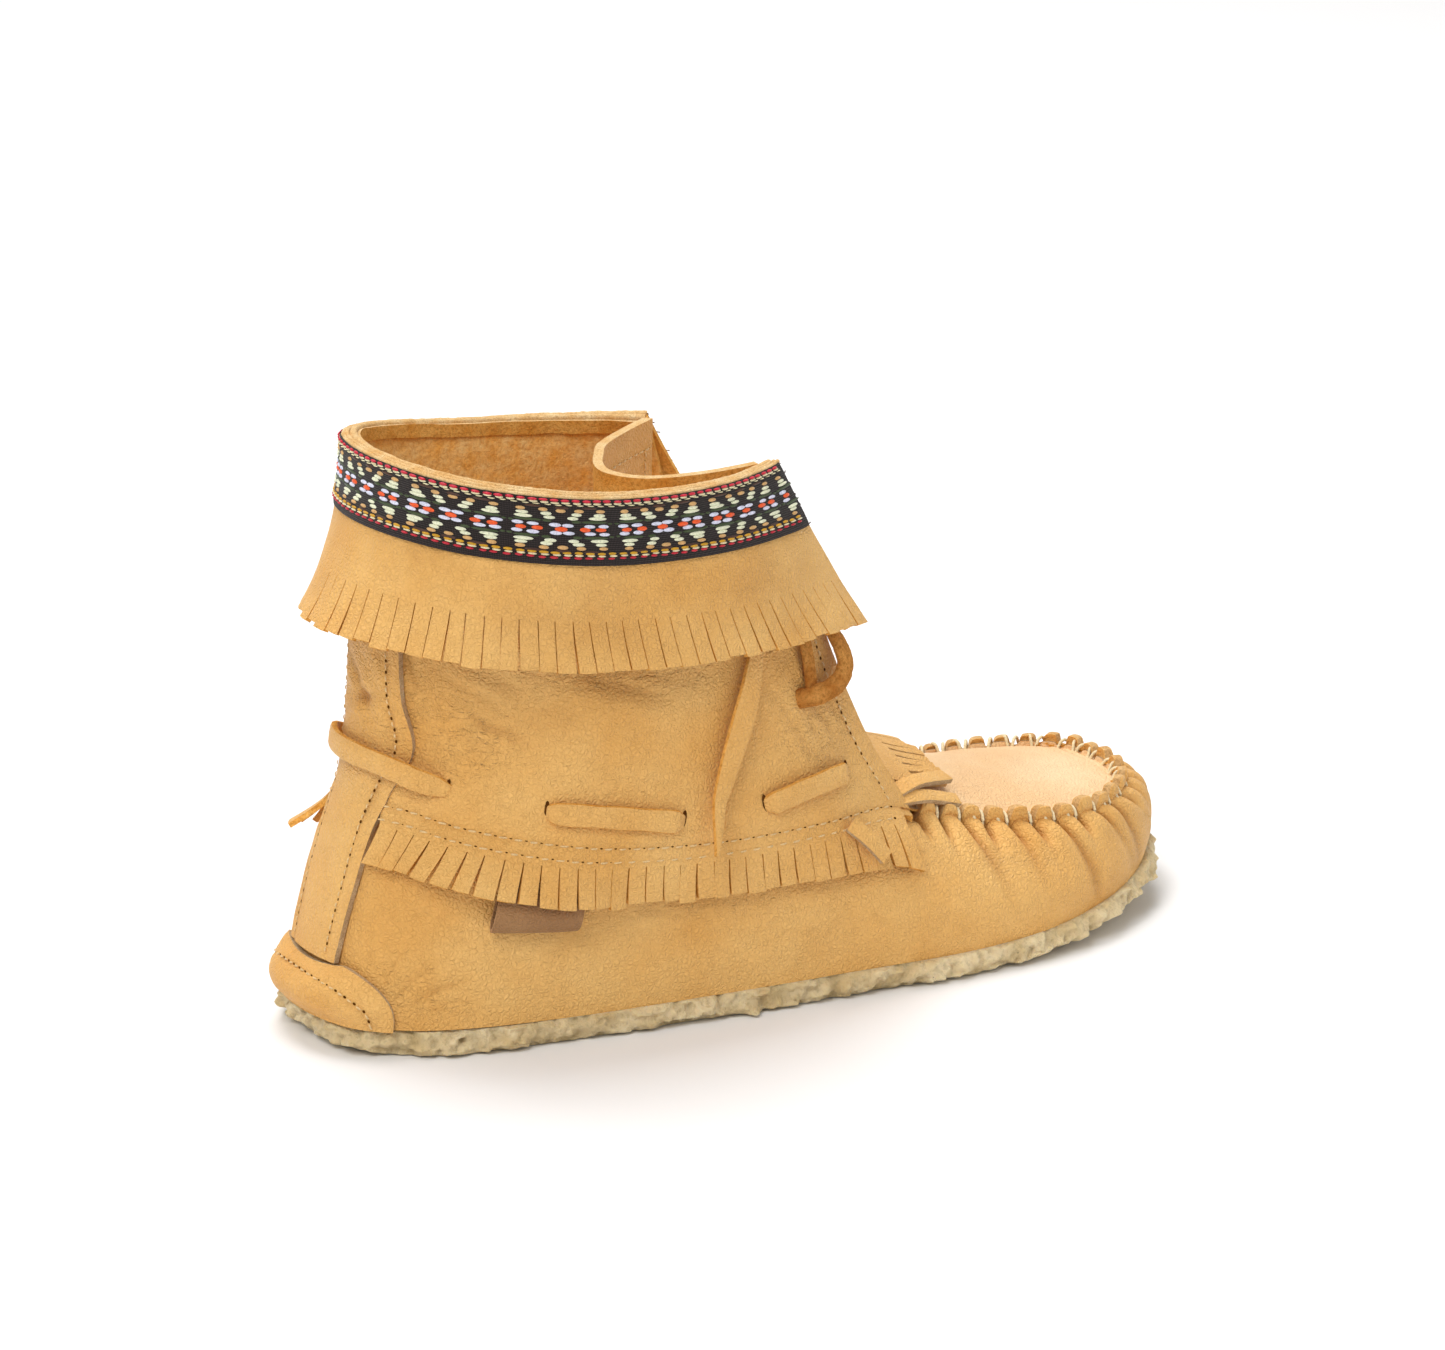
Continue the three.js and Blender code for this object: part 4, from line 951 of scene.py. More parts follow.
def whip_stitches():
    """Pale thread wrapped over the gathered seam, one turn in each valley."""
    # a turn's path over the rib: share of its run, distance in from the seam and height
    turn_path = ((0, 3.5, .3), (.12, 3.0, 1.4), (.3, 2.3, 2.7), (.5, 1.2, 3.0), (.7, .1, 2.2),
                 (.85, -.7, .6), (1, -.5, -1.6))
    parts = Parts()
    for k in range(1, FOLDS):
        strands = [(k * PUCKER_PITCH + 0.5, 1.3, -0.3)]
        if k % 3 != 1:
            strands.append((k * PUCKER_PITCH + 1.6, -2.2, 0.2))
        for q0, slope, lift in strands:
            path = []
            for share, back, up in turn_path:
                turn = np.interp(q0 - slope * share * 1.2, _run, _marks)
                at = seam_ring(turn) - outward(turn) * back
                crest = lift if 0.3 <= share <= 0.5 else 0
                path.append(at + np.array([0, 0, up + crest]))
            path, along, _ = chain(np.array(path), 0.55)
            out = unit(np.cross(along, np.cross(np.array([0, 0, 1.0]) + 0 * along, along)))
            parts.take(*bend((path, np.cross(along, out), out), round_section(0.42, 7, len(path))))
    piece = parts.join("whip_stitches", [whip_thread])


# Shaft and side fringes, one cut hide
HALF_GIRTH = 152.0      # seam round one side of the ankle, for placing creases
SHAFT_RISE = 88.0       # seam to rim
FRINGE_FROM, FRINGE_TO = 0.148, 0.98
FRINGE_OUT = GAP + 0.1 + OVERLAY

# creases of the shaft: share round it, share of the height, and the same again, bow, depth, width
SHAFT_CREASES = [
    (.20, .50, .40, .40, 2, .55, 2.4), (.22, .43, .36, .36, -1, .4, 1.6),
    (.24, .36, .34, .28, 1.5, .4, 1.5), (.26, .52, .44, .47, 1, .35, 1.8),
    (.27, .30, .42, .26, 1, .3, 1.5), (.40, .58, .74, .47, -4, .8, 3.6),
    (.46, .52, .70, .42, -3, .5, 2.2), (.50, .60, .72, .54, 1, .45, 1.6),
    (.52, .50, .66, .45, 2, .4, 1.4), (.55, .44, .68, .38, 1, .35, 1.5),
    (.84, .60, .90, .22, 2, .4, 1.3), (.88, .58, .94, .20, -1.5, .35, 1.2),
    (.80, .50, .88, .16, 1.5, .3, 1.3), (.91, .52, .96, .24, 1, .3, 1.0),
    (.10, .58, .16, .44, 1, .5, 1.5), (.12, .50, .19, .34, -1, .5, 1.6),
    (.02, .48, .11, .40, 1.5, .6, 1.8), (-.02, .50, -.10, .38, 1.5, .6, 1.8),
    (-.12, .56, -.2, .42, 1, .5, 1.6), (.03, .42, .12, .36, -1, .4, 1.3),
]


OUTER_STRIPS = 500      # numbers of the outer fringe's strips start here
SLIT_ROWS = 12          # rows of cells below the slits' upper ends
SLIT_TOP = 5.1          # mm from the seam down to where the slits start


def shaft_line(share, v, lift):
    """A line on the shaft and the direction out of the surface along it."""
    point = on_shaft(share, v, lift)
    return point, unit(on_shaft(share, v, lift + 1) - point)


def fringe_at(share, drop, out):
    share, drop = np.broadcast_arrays(share, drop)
    turn = turn_of(share)
    foot = wall_at(turn, 0 * turn)[..., 2]
    v = 1 - drop * (0.94 + 0.3 * share**2) / (seam_ring(turn)[..., 2] - foot)
    over_tag = np.exp(-((wall_at(turn, v)[..., 0] - 0.07 * LENGTH) / TAG_WIDTH) ** 4)
    near = np.where(share > 0, over_tag, 0)
    lift = (0.9 + 4.3 * near) * np.clip((drop - 1) / FRINGE_DROP, 0, 1) ** 0.8
    return on_wall(turn, v, GAP + 0.1 + lift + out)


def front_edge(share, v):
    """The flaps' front edges run a little hollow between seam and rim."""
    return share * (1 - 0.034 * np.sin(math.pi * np.clip(v, 0, 1)) * ease(np.abs(share), 0.6, 1.0))


def seam_lift(share, v):
    """The shaft's hide stands over the wall at the seam and meets its last higher up."""
    return FRINGE_OUT * ease(v, 0.24, 0.0) * (0.35 + 0.65 * ease(np.abs(share), 0.10, 0.2))


def shaft():
    outer = comb(FRINGE_FROM, FRINGE_TO, lambda s: fringe_at(s, 3 + 0 * s, 0), 6, 7)
    inner = comb(-FRINGE_TO, -FRINGE_FROM, lambda s: fringe_at(s, 3 + 0 * s, 0), 6, 9)
    back = np.linspace(-FRINGE_FROM, FRINGE_FROM, 36)[1:-1]
    edge = np.linspace(FRINGE_TO, 1, 6)[1:]
    share = np.concatenate([-edge[::-1], inner[0], back, outer[0], edge])
    tail = np.zeros(len(edge))
    strip = np.concatenate([tail - 2, inner[1], 0 * back - 1, outer[1] + OUTER_STRIPS, tail - 3]).astype(int)
    place = np.concatenate([tail, inner[2], 0 * back, outer[2], tail])
    in_fringe = strip >= 0
    rng = np.random.default_rng(12)
    sway, lift, twist, longer = (rng.uniform(-1, 1, 2000) for _ in range(4))
    number = np.clip(strip, 0, 1999)
    # the rear strips stand apart and lean back; so do the two next to the lifted ones
    rank = np.where(strip >= OUTER_STRIPS, strip - OUTER_STRIPS, inner[1].max() - strip)
    loose = np.where(in_fringe, np.exp(-((rank - 2) / 4.5) ** 2), 0)
    lean = in_fringe * (0.22 * sway[number] - 3.2 * loose * np.sign(share))
    lifted = 5.6 * (share < 0) * np.exp(-(rank / 1.6) ** 2)
    rise = in_fringe * (0.2 + 0.22 * lift[number] + 0.9 * loose + lifted)
    curl = in_fringe * (0.16 * twist[number] + 0.4 * loose * sway[number])
    extra = in_fringe * 0.035 * longer[number]
    # rows run upwards: the fringe from its tips, then the shaft to the rim
    drops = np.array([1, .985, .95, .9, .84, .77, .7, .63, .56, .5, .445, .4, .365, .26, .15, .04])
    drops = drops * FRINGE_DROP
    heights = np.concatenate([[0.004], np.linspace(0.014, 1, 74)])
    rows = []
    for drop in drops:
        g = np.clip((drop - SLIT_TOP) / (FRINGE_DROP - SLIT_TOP), 0, 1)
        narrow = 1 - 0.015 * g - 0.06 * g * loose
        ahead = 2.0 * np.sign(share) * ease(np.abs(share), 0.25, 0.5) * g
        shift = (lean * g**1.2 + ahead + place * (STRIP_PITCH / 2) * (narrow - 1)) / HALF_GIRTH
        bare = np.where(in_fringe, drop * (1 + extra), np.minimum(drop, 2.4))
        out = OVERLAY + rise * g**1.4 + curl * place * g - 0.14 * place**2 * g
        out = np.where(in_fringe, out, OVERLAY - 0.5)
        rows.append(fringe_at(share + shift, bare, out))
    for v in heights:
        rows.append(on_shaft(front_edge(share, v), v + 0 * share, seam_lift(share, v + 0 * share)))
    front = np.stack(rows)
    normal = grid_normals(front)
    s, v = np.meshgrid(share, np.concatenate([-drops / SHAFT_RISE, heights]))
    lines = [(a * HALF_GIRTH, b * SHAFT_RISE, c * HALF_GIRTH, d * SHAFT_RISE, *rest)
             for a, b, c, d, *rest in SHAFT_CREASES]
    above = ease(v, 0.02, 0.12)
    relief = troughs(s * HALF_GIRTH, v * SHAFT_RISE, lines) * above
    relief += (0.35 * rumple(front, 19, 41) + 0.13 * rumple(front, 6, 42)) * above * ease(v, 1.0, 0.9)
    edge = ease(np.abs(s), 0.1, 0.16)
    # the two rows of stitches pull the hide down
    for level, wide in ((0.008, 0.012), (0.047, 0.010)):
        relief -= 0.35 * np.exp(-((v + level) / wide) ** 2) * edge
    front = front + normal * relief[..., None]
    thick = np.where(v[..., None] < 0, OVERLAY, LEATHER)
    back_face = front - normal * thick
    rows_n, columns = s.shape
    keep = np.ones((rows_n - 1, columns - 1), bool)
    apart = strip[1:] != strip[:-1]
    bare = (strip[1:] < 0) | (strip[:-1] < 0)
    keep[:SLIT_ROWS, apart | bare] = False
    bent = patches(np.abs(s), v, [
        (.57, .50, .20, .10, .9), (.30, .26, .10, .16, 1.0), (.17, .26, .06, .16, .9),
        (.10, .34, .2, .12, .5), (.90, .30, .07, .25, .8), (.75, .4, .12, .12, .35), (.5, .2, .3, .1, .25)])
    piece = leather_sheet("shaft_with_side_fringes", front, back_face, [leather, lit_lining_suede, suede], keep,
                          fields={"relief": relief, "wrinkle": bent})
    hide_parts("upper", "side_fringe_outer", "side_fringe_inner")


# Cuff and trim
def cuff_at(share, depth, out):
    share, depth = np.broadcast_arrays(share, depth)
    ends = np.clip(share, -1, 1)
    fall = CUFF_DEPTH / (shaft_at(ends, 1 + 0 * ends)[..., 2] - shaft_at(ends, 0 * ends)[..., 2])
    fall = fall * (1 + 0.06 * np.abs(share) ** 6)
    flare = CUFF_FLARE * read(FLARE, 1, np.abs(share)) * depth**1.8
    close = GAP * ease(depth, 0.0, 0.5)
    return on_shaft(share * (1 + 0.037 * depth), 1 - fall * depth, close + flare + out)


def cuff():
    share, number, place = comb(-0.995, 0.995, lambda s: cuff_at(s, 1 + 0 * s, 0), 6, 15)
    rng = np.random.default_rng(16)
    sway, lift, twist, longer = (rng.uniform(-1, 1, 400)[number] for _ in range(4))
    cut = 1 - CUFF_SLIT / CUFF_DEPTH
    depth = np.concatenate([1 - (1 - cut) * np.linspace(0, 1, 14), np.linspace(cut, 0.005, 34)[1:]])
    s, d = np.meshgrid(share, depth)
    g = np.clip((d - cut) / (1 - cut), 0, 1)
    shift = (0.2 * sway * g - place * 0.03 * g) / HALF_GIRTH
    ragged = 1 + 0.012 * longer * g
    out = OVERLAY + (0.12 + 0.2 * lift) * g**1.5 + 0.16 * twist * place * g - 0.12 * place**2 * g
    front = cuff_at(s + shift, d * ragged, out)
    wave = 0.55 * rumple(front, 26, 51) + 0.16 * rumple(front, 7, 52)
    relief = wave * ease(d, 0.03, 0.2)
    normal = grid_normals(front)
    front = front + normal * relief[..., None]
    back = front - normal * OVERLAY
    keep = np.ones((len(depth) - 1, len(share) - 1), bool)
    keep[:13, number[1:] != number[:-1]] = False
    piece = leather_sheet("fringed_cuff", front, back, [leather, suede, suede], keep,
                          fields={"relief": relief})
    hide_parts("cuff")


# chart of the trim's floats, given over half a repeat, which is mirrored at its
# black bar, at its flower and, but for the edge rows, across its middle line.
# thread, place along and over the middle line, half length and half height, in mm
TRIM_REPEAT = 26.6
TRIM_PHASE = 13.3
TRIM_WIDTH = 16.2
TRIM_MIDDLE = 0.65
TRIM_OUT = OVERLAY + 0.1
TRIM_LOW = 0.004        # how far the ribbon is sewn on below the rim, share of the cuff
TRIM_ENDS = 0.985       # share of the cuff's length that the ribbon runs to
REPEATS = 14
DASH = 2.77             # pitch of the edge rows' stitches
CHART = [
    ("orange", 3.4, 0, 1.55, .6), ("orange", 7.4, 0, 1.55, .6), ("orange", 13.3, 0, 1.6, .62),
    ("white", 2.6, .95, 1.6, .52), ("white", 6.25, .95, 1.6, .52), ("white", 11.8, .95, 1.6, .52),
    ("green", 4.8, 1.95, 3.4, .42), ("green", 9.6, 1.95, 1.3, .38), ("green", 0.9, 1.6, .8, .3),
    ("pale", 4.0, 2.75, 2.4, .5), ("pale", 3.6, 3.55, 1.7, .5), ("tan", 3.2, 4.55, 1.25, .5),
    ("pale", 10.4, 2.75, 1.5, .5), ("pale", 9.5, 3.6, 1.5, .5), ("tan", 8.8, 4.55, 1.25, .5),
    ("tan", 13.3, 4.4, 1.35, .5), ("brown", 13.3, 5.2, 1.9, .4), ("brown", 6.2, 5.3, 2.2, .32),
]


def trim():
    """Woven ribbon sewn round under the rim, with its pattern in raised floats."""
    half = TRIM_WIDTH / CUFF_DEPTH / 2
    line = lambda s: cuff_at(s, half + 0 * s, TRIM_OUT)
    share = even(line, -TRIM_ENDS, TRIM_ENDS, 620)
    run = run_along(line(share))
    rise = np.linspace(-1, 1, 25)
    s, h = np.meshgrid(share, rise)
    depth = half * (1 - h) + TRIM_LOW
    wave = 0.12 * rumple(cuff_at(s, depth, 0), 9, 61)
    roll = -0.35 * np.abs(h) ** 8
    front = cuff_at(s, depth, TRIM_OUT + BRAID + wave + roll)
    normal = grid_normals(front)
    uv = np.stack(np.broadcast_arrays(run[None, :], (h * TRIM_WIDTH / 2)), -1)
    piece = leather_sheet("woven_trim", front, front - normal * BRAID, [ribbon] * 3, uv=uv)
    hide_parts("braid_band")

    marks = {name: [] for name in FLOATS}
    start = run[-1] / 2 - TRIM_REPEAT * REPEATS / 2 + TRIM_PHASE
    for repeat in range(REPEATS):
        for name, along, up, long, tall in CHART:
            for side in (1, -1):
                if side == -1 and along == TRIM_REPEAT / 2:
                    continue
                x = start + repeat * TRIM_REPEAT + (along if side > 0 else TRIM_REPEAT - along)
                for over in ((1, -1) if up else (1,)):
                    marks[name].append((x, up * over, long, tall))
    for k in range(int(run[-1] / DASH)):
        x = k * DASH + 1.2
        for name, aside, up, long, tall in (
                ("red", 0, 7.0, 1.1, .38), ("cream", .15, 6.45, 1.1, .3),
                ("cream", 1.0, 5.95, .9, .13), ("mustard", 0, -5.7, 1.15, .38),
                ("cream", .2, -6.25, 1.1, .3), ("red", -.3, -6.85, 1.0, .32)):
            marks[name].append((x + aside, up, long, tall))
    shape, quads = dome(10, 2)
    rng = np.random.default_rng(18)
    parts = Parts()

    def place(x, h):
        return cuff_at(np.interp(x, run, share), half - (h + TRIM_MIDDLE) / CUFF_DEPTH + TRIM_LOW,
                       TRIM_OUT + BRAID - 0.05)

    for pick, name in enumerate(FLOATS):
        table = np.array(marks[name])
        table = table[(table[:, 0] > 1.5) & (table[:, 0] < run[-1] - 1.5)]
        x = table[:, 0] + rng.normal(0, 0.08, len(table))
        h = table[:, 1] + rng.normal(0, 0.04, len(table))
        at = place(x, h)
        along = unit(place(x + 0.5, h) - place(x - 0.5, h))
        across = unit(place(x, h + 0.3) - place(x, h - 0.3))
        out = unit(np.cross(along, across))
        tall = 0.5 if name not in ("green", "brown") else 0.3
        size = np.stack([table[:, 2], table[:, 3], np.full(len(table), tall)], -1)
        size = size * rng.uniform(0.93, 1.07, size.shape)
        parts.take(*stamp(shape, quads, at, along, across, out, size), pick)
    piece = parts.join("trim_floats", list(FLOATS.values()))

    # the trim's cut ends fray into short loose threads
    parts = Parts()
    rng = np.random.default_rng(20)
    frays = 7
    for end in (-1, 1):
        for k in range(frays):
            h = (k / (frays - 1) * 2 - 1) * 0.95
            base, step = cuff_at(end * np.array([TRIM_ENDS, TRIM_ENDS + 0.01]), half * (1 - h) + TRIM_LOW,
                                 TRIM_OUT + 0.5)
            along = unit(step - base)
            long = rng.uniform(0.6, 1.9)
            fan = rng.normal(0, 0.35, 3)
            path = np.array([base - along * 0.8, base + along * long * 0.5,
                             base + along * long + fan * long * 0.4])
            path, d, _ = chain(path, long / 4)
            up = unit(np.cross(d, np.array([0.3, 0.5, 0.8]) + 0 * d))
            parts.take(*bend((path, up, np.cross(d, up)), round_section(0.16, 5, len(path))))
    piece = parts.join("frayed_trim_ends", [FLOATS["brown"]])


def rim_edges():
    """The raw edges at the rim stand side by side, fuzzy and pale, with a turned-in band inside."""
    share = even(lambda s: on_shaft(s, 1 + 0 * s, 0), -0.995, 0.995, 560)
    rim = on_shaft(share, 1 + 0 * share, 0)
    sides = 9
    parts = Parts()
    for level, out, radius, seed in ((0.999, -1.0, 0.95, 1), (1.001, 0.45, 0.55, 2), (0.998, 1.35, 0.62, 3)):
        point = on_shaft(share, level + 0.0012 * rumple(rim, 7, 40 + seed), out)
        outwards = unit(on_shaft(share, 1 + 0 * share, out + 1) - point)
        down = frame_on(point, outwards)[1]
        p, f = bend((point, outwards, -down), round_section(radius, sides, len(point)))
        spine = np.repeat(np.concatenate([point[:1], point, point[-1:]]), sides, 0)
        fuzz = 0.10 * rumple(p, 0.7, 44 + seed) + 0.10 * rumple(p, 1.9, 48 + seed)
        parts.take(p + unit(p - spine) * fuzz[:, None], f)
    piece = parts.join("raw_rim_edges", [rim_edge])
    s, v = np.meshgrid(share[4:-4:2], np.linspace(0.958, 0.997, 8))
    rough = 0.25 * rumple(on_shaft(s, v, 0), 3, 55) * ease(v, 0.985, 0.96)
    inner = on_shaft(s, v - 0.002 * rumple(on_shaft(s, v, 0), 5, 56), -LEATHER - 0.9 + rough)
    outer = on_shaft(s, v, -LEATHER + 0.1)
    piece = leather_sheet("turned_in_rim_band", outer, inner, [suede, suede, rim_edge])


# Back strip and heel tab
def turn_at_side(f, level, goal):
    """Turn round the heel where the surface f at that level reaches the width goal."""
    low, high = np.full(goal.shape, -70.0), np.full(goal.shape, 70.0)
    for _ in range(32):
        middle = (low + high) / 2
        short = -f(middle, level)[..., 1] < goal
        low, high = np.where(short, middle, low), np.where(short, high, middle)
    return (low + high) / 2


def strip_surface(across, climb, out):
    goal = across * STRIP_HALF * read(STRIP, 1, climb)
    turn = turn_at_side(back_at, climb, goal)
    step = 0.03
    side = unit(back_at(turn + 0.6, climb) - back_at(turn - 0.6, climb))
    rise = back_at(turn, climb + step) - back_at(turn, climb - step)
    return back_at(turn, climb) + unit(np.cross(side, rise)) * np.asarray(out)[..., None]


def back_strip():
    across, climb = np.meshgrid(np.linspace(-1, 1, 29), np.linspace(0.28, 1.62, 96))
    front = strip_surface(across, climb, STRIP_OUT + 0 * across)
    normal = grid_normals(front)
    x, z = across * STRIP_HALF, climb * 60
    relief = -0.35 * np.exp(-((np.abs(x) - 8.9) / 0.7) ** 2)
    relief += 0.25 * rumple(front, 9, 71) + 0.1 * rumple(front, 3.5, 72)
    ankle = np.exp(-((climb - 1.3) / 0.16) ** 2)
    relief += troughs(x, z, [(-10, 84, 6, 72, 2, .6, 1.4), (-8, 78, 9, 80, -2, .5, 1.3),
                             (-9, 70, 4, 78, 1, .4, 1.1), (0, 90, 10, 82, 1, .4, 1.2)]) * (0.4 + ankle)
    front = front + normal * relief[..., None]
    thick = OVERLAY + 0.25 * ease(np.abs(across), 0.75, 1.0)
    bent = patches(across, climb, [(0, 1.28, 2.0, .17, 0.6), (-.5, .9, 1.0, .2, .2)])
    piece = leather_sheet("heel_back_strip", front, front - normal * thick[..., None],
                          [leather, suede, cut_edge], fields={"relief": relief, "wrinkle": bent})
    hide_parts("back_strip")


def strip_row(side):
    """Line of stitches inside one edge of the back strip."""
    climb = np.linspace(0.33, 1.6, 160)
    across = side * (1 - STRIP_ROW / (STRIP_HALF * read(STRIP, 1, climb)))
    line = strip_surface(across, climb, STRIP_OUT + 0 * climb)
    lifted = strip_surface(across, climb, STRIP_OUT + 1 + 0 * climb)
    return line, lifted - line


TAB_ROW_WIDE, TAB_ROW_HIGH = 0.87, 0.80     # the heel tab's stitch row, shares of its width and height
STRIP_ROW = 3.5                             # stitch row of the back strip, mm inside its edge
STRIP_OUT = 1.6 * GAP + OVERLAY             # face of the back strip, off the wall and the shaft


def tab_surface(u, r, out):
    reach = TAB_HALF * np.maximum(0.05, 1 - (0.93 * np.abs(r)) ** 2.6) ** 0.34
    foot = float(sole_ring(np.array(0.0), SOLE_LIP, SOLE_THICKNESS)[2])
    shoulder = 0.97 + 0.11 * np.clip(np.abs(u) * reach / 14, 0, 1) ** 2
    v = 0.012 + r * shoulder * TAB_HEIGHT / (SEAM_HEIGHT - foot)
    turn = turn_at_side(wall_at, v, u * reach)
    return on_wall(turn, v, out)


def tab_front(u, r):
    """Distance of the tab's face from the wall: thickest low at the back, thin at its edge."""
    swell = TAB_SWELL * np.sin(math.pi * np.clip(r, 0, 1) ** 0.75) * (1 - np.abs(u) ** 2.2)
    edge = ease(np.minimum(1 - np.abs(u), (1 - r) * 0.9), 0.0, 0.16)
    return STRIP_OUT + 0.5 * edge + swell


def heel_tab():
    u, r = np.meshgrid(np.linspace(-1, 1, 81), np.linspace(-0.06, 1, 34))
    front = tab_surface(u, r, tab_front(u, r))
    normal = grid_normals(front)
    reach = np.hypot(u / TAB_ROW_WIDE, r / TAB_ROW_HIGH)
    relief = 0.22 * rumple(front, 7, 81) + 0.1 * rumple(front, 3, 82)
    relief -= 0.3 * np.exp(-((reach - 1) / 0.05) ** 2)
    front = front + normal * relief[..., None]
    back = tab_surface(u, r, 1.6 * GAP + 0 * u)
    piece = leather_sheet("stitched_heel_tab", front, back, [leather, suede, cut_edge],
                          fields={"relief": relief})
    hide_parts("heel_tab")


# Stitches
def stitches(name, rows, pitch, long=0.54, girth=0.27):
    """Rows of thread in joined copies, each stitch with a dark dome at its end, painted shade for
    its pierced hole. A row is a line on the surface and the direction out of it."""
    shape, quads = bead()
    hole, hole_quads = dome(8, 1)
    parts = Parts()
    rng = np.random.default_rng(len(name))
    for line, out in rows:
        at, along, goal = chain(line, pitch)
        step = run_along(line)
        out = unit(np.stack([np.interp(goal, step, unit(out)[:, k]) for k in range(3)], -1))
        across = unit(np.cross(out, along))
        n = len(at)
        size = np.stack([np.full(n, pitch * long / 2), np.full(n, girth), np.full(n, girth * 1.3)], -1)
        size *= rng.uniform(0.85, 1.1, size.shape)
        parts.take(*stamp(shape, quads, at + out * 0.05, unit(along + across * 0.08), across, out, size))
        # a flat dark dome at the stitch's end: painted shade in the pierced hole
        parts.take(*stamp(hole, hole_quads, at + along * pitch / 2 - out * 0.05, along, across, out,
                          np.array([[0.46, 0.34, 0.1]])), 1)
    piece = parts.join(name, [seam_thread, needle_hole_shade])


def all_stitches():
    rows = []
    for side in (1, -1):
        share = side * np.linspace(FRINGE_FROM, 0.955, 260)
        for drop in (0.7, 3.7):
            line = fringe_at(share, drop, OVERLAY - 0.3)
            rows.append((line, fringe_at(share, drop, OVERLAY + 0.7) - line))
    stitches("side_seam_stitches", rows, 3.8)
    rows = []
    for side in (1, -1):
        v = np.linspace(0.03, 0.6, 120)
        share = front_edge(side * (0.965 + 0 * v), v)
        line = on_shaft(share, v, seam_lift(share, v))
        rows.append((line, on_shaft(share, v, seam_lift(share, v) + 1) - line))
    stitches("throat_edge_stitches", rows, 3.2)
    stitches("back_strip_stitches", [strip_row(-1), strip_row(1)], 2.9, long=0.46, girth=0.25)
    angle = np.linspace(0.02, math.pi - 0.02, 120)
    u, r = TAB_ROW_WIDE * np.cos(angle), TAB_ROW_HIGH * np.sin(angle) ** 0.8
    line = tab_surface(u, r, tab_front(u, r) - 0.12)
    stitches("heel_tab_stitches", [(line, tab_surface(u, r, tab_front(u, r) + 1) - line)], 3.0)


# Thongs, lace and tag
def thong_run(name, start, end, low, high, sag, over):
    """A stretch of leather thong that comes out of one slit and goes into the next."""
    long = float(np.linalg.norm(on_shaft(start, low, 0) - on_shaft(end, high, 0)))
    count = 60
    t = np.linspace(-1.2 / long, 1 + 1.2 / long, count)
    share = lerp(start, end, t)
    v = lerp(low, high, t) - 4 * sag * t * (1 - t)
    inside = np.minimum(t, 1 - t) * long
    dive = 1 - np.sqrt(np.clip((inside + 1.2) / 3.2, 0, 1))
    lift = seam_lift(share, v) + over(share) + GAP * 0.6 - 3.4 * dive
    point, out = shaft_line(share, v, lift)
    along = unit(np.gradient(on_shaft(share, v, seam_lift(share, v)), axis=0))
    across = unit(np.cross(out, along))
    half = THONG_WIDTH / 2 * (1 - 0.45 * ease(inside, 2.2, -1.2))
    half = half * (1 + 0.03 * np.sin(t * 19 + start * 9))
    p, f = bend((point, across, out), strap_section(half, np.full(count, THONG + 0.2), power=0.62))
    piece = make(name, p, f, [leather, suede], raw_edges(f))
    ends = []
    for k, way in ((np.argmax(t > 0), -1), (count - 1 - np.argmax(t[::-1] < 1), 1)):
        at = on_shaft(share[k], v[k], seam_lift(share[k], v[k]) + over(share[k]) - 0.1)
        ends.append((at + along[k] * way * 0.55, along[k], across[k], out[k]))
    return piece, ends


def thongs():
    over_strip = lambda s: (OVERLAY + 2.6 * GAP) * (1 - np.clip((np.abs(s) - 0.215) / 0.04, 0, 1))
    flat = lambda s: 0 * s
    slits = []
    for name, *run in (("thong_back", -.27, .27, .09, .09, -.038, over_strip),
                       ("thong_outer_middle", .445, .645, .082, .06, -.01, flat),
                       ("thong_outer_front", .772, .908, .078, .124, -.006, flat),
                       ("thong_inner_middle", -.645, -.445, .06, .082, -.01, flat),
                       ("thong_inner_front", -.908, -.772, .124, .078, -.006, flat)):
        piece, ends = thong_run(name + "_strap", *run)
        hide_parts(name)
        slits += ends
    # flat dark domes where the thong goes into its slits: painted shade
    shape, quads = dome(12, 2)
    at, along, across, out = (np.array([s[k] for s in slits]) for k in range(4))
    p, f = stamp(shape, quads, at, along, across, out, np.array([[0.8, 2.9, 0.3]]))
    piece = make("thong_slit_shades", p, f, [slit_shade], sharp=80)


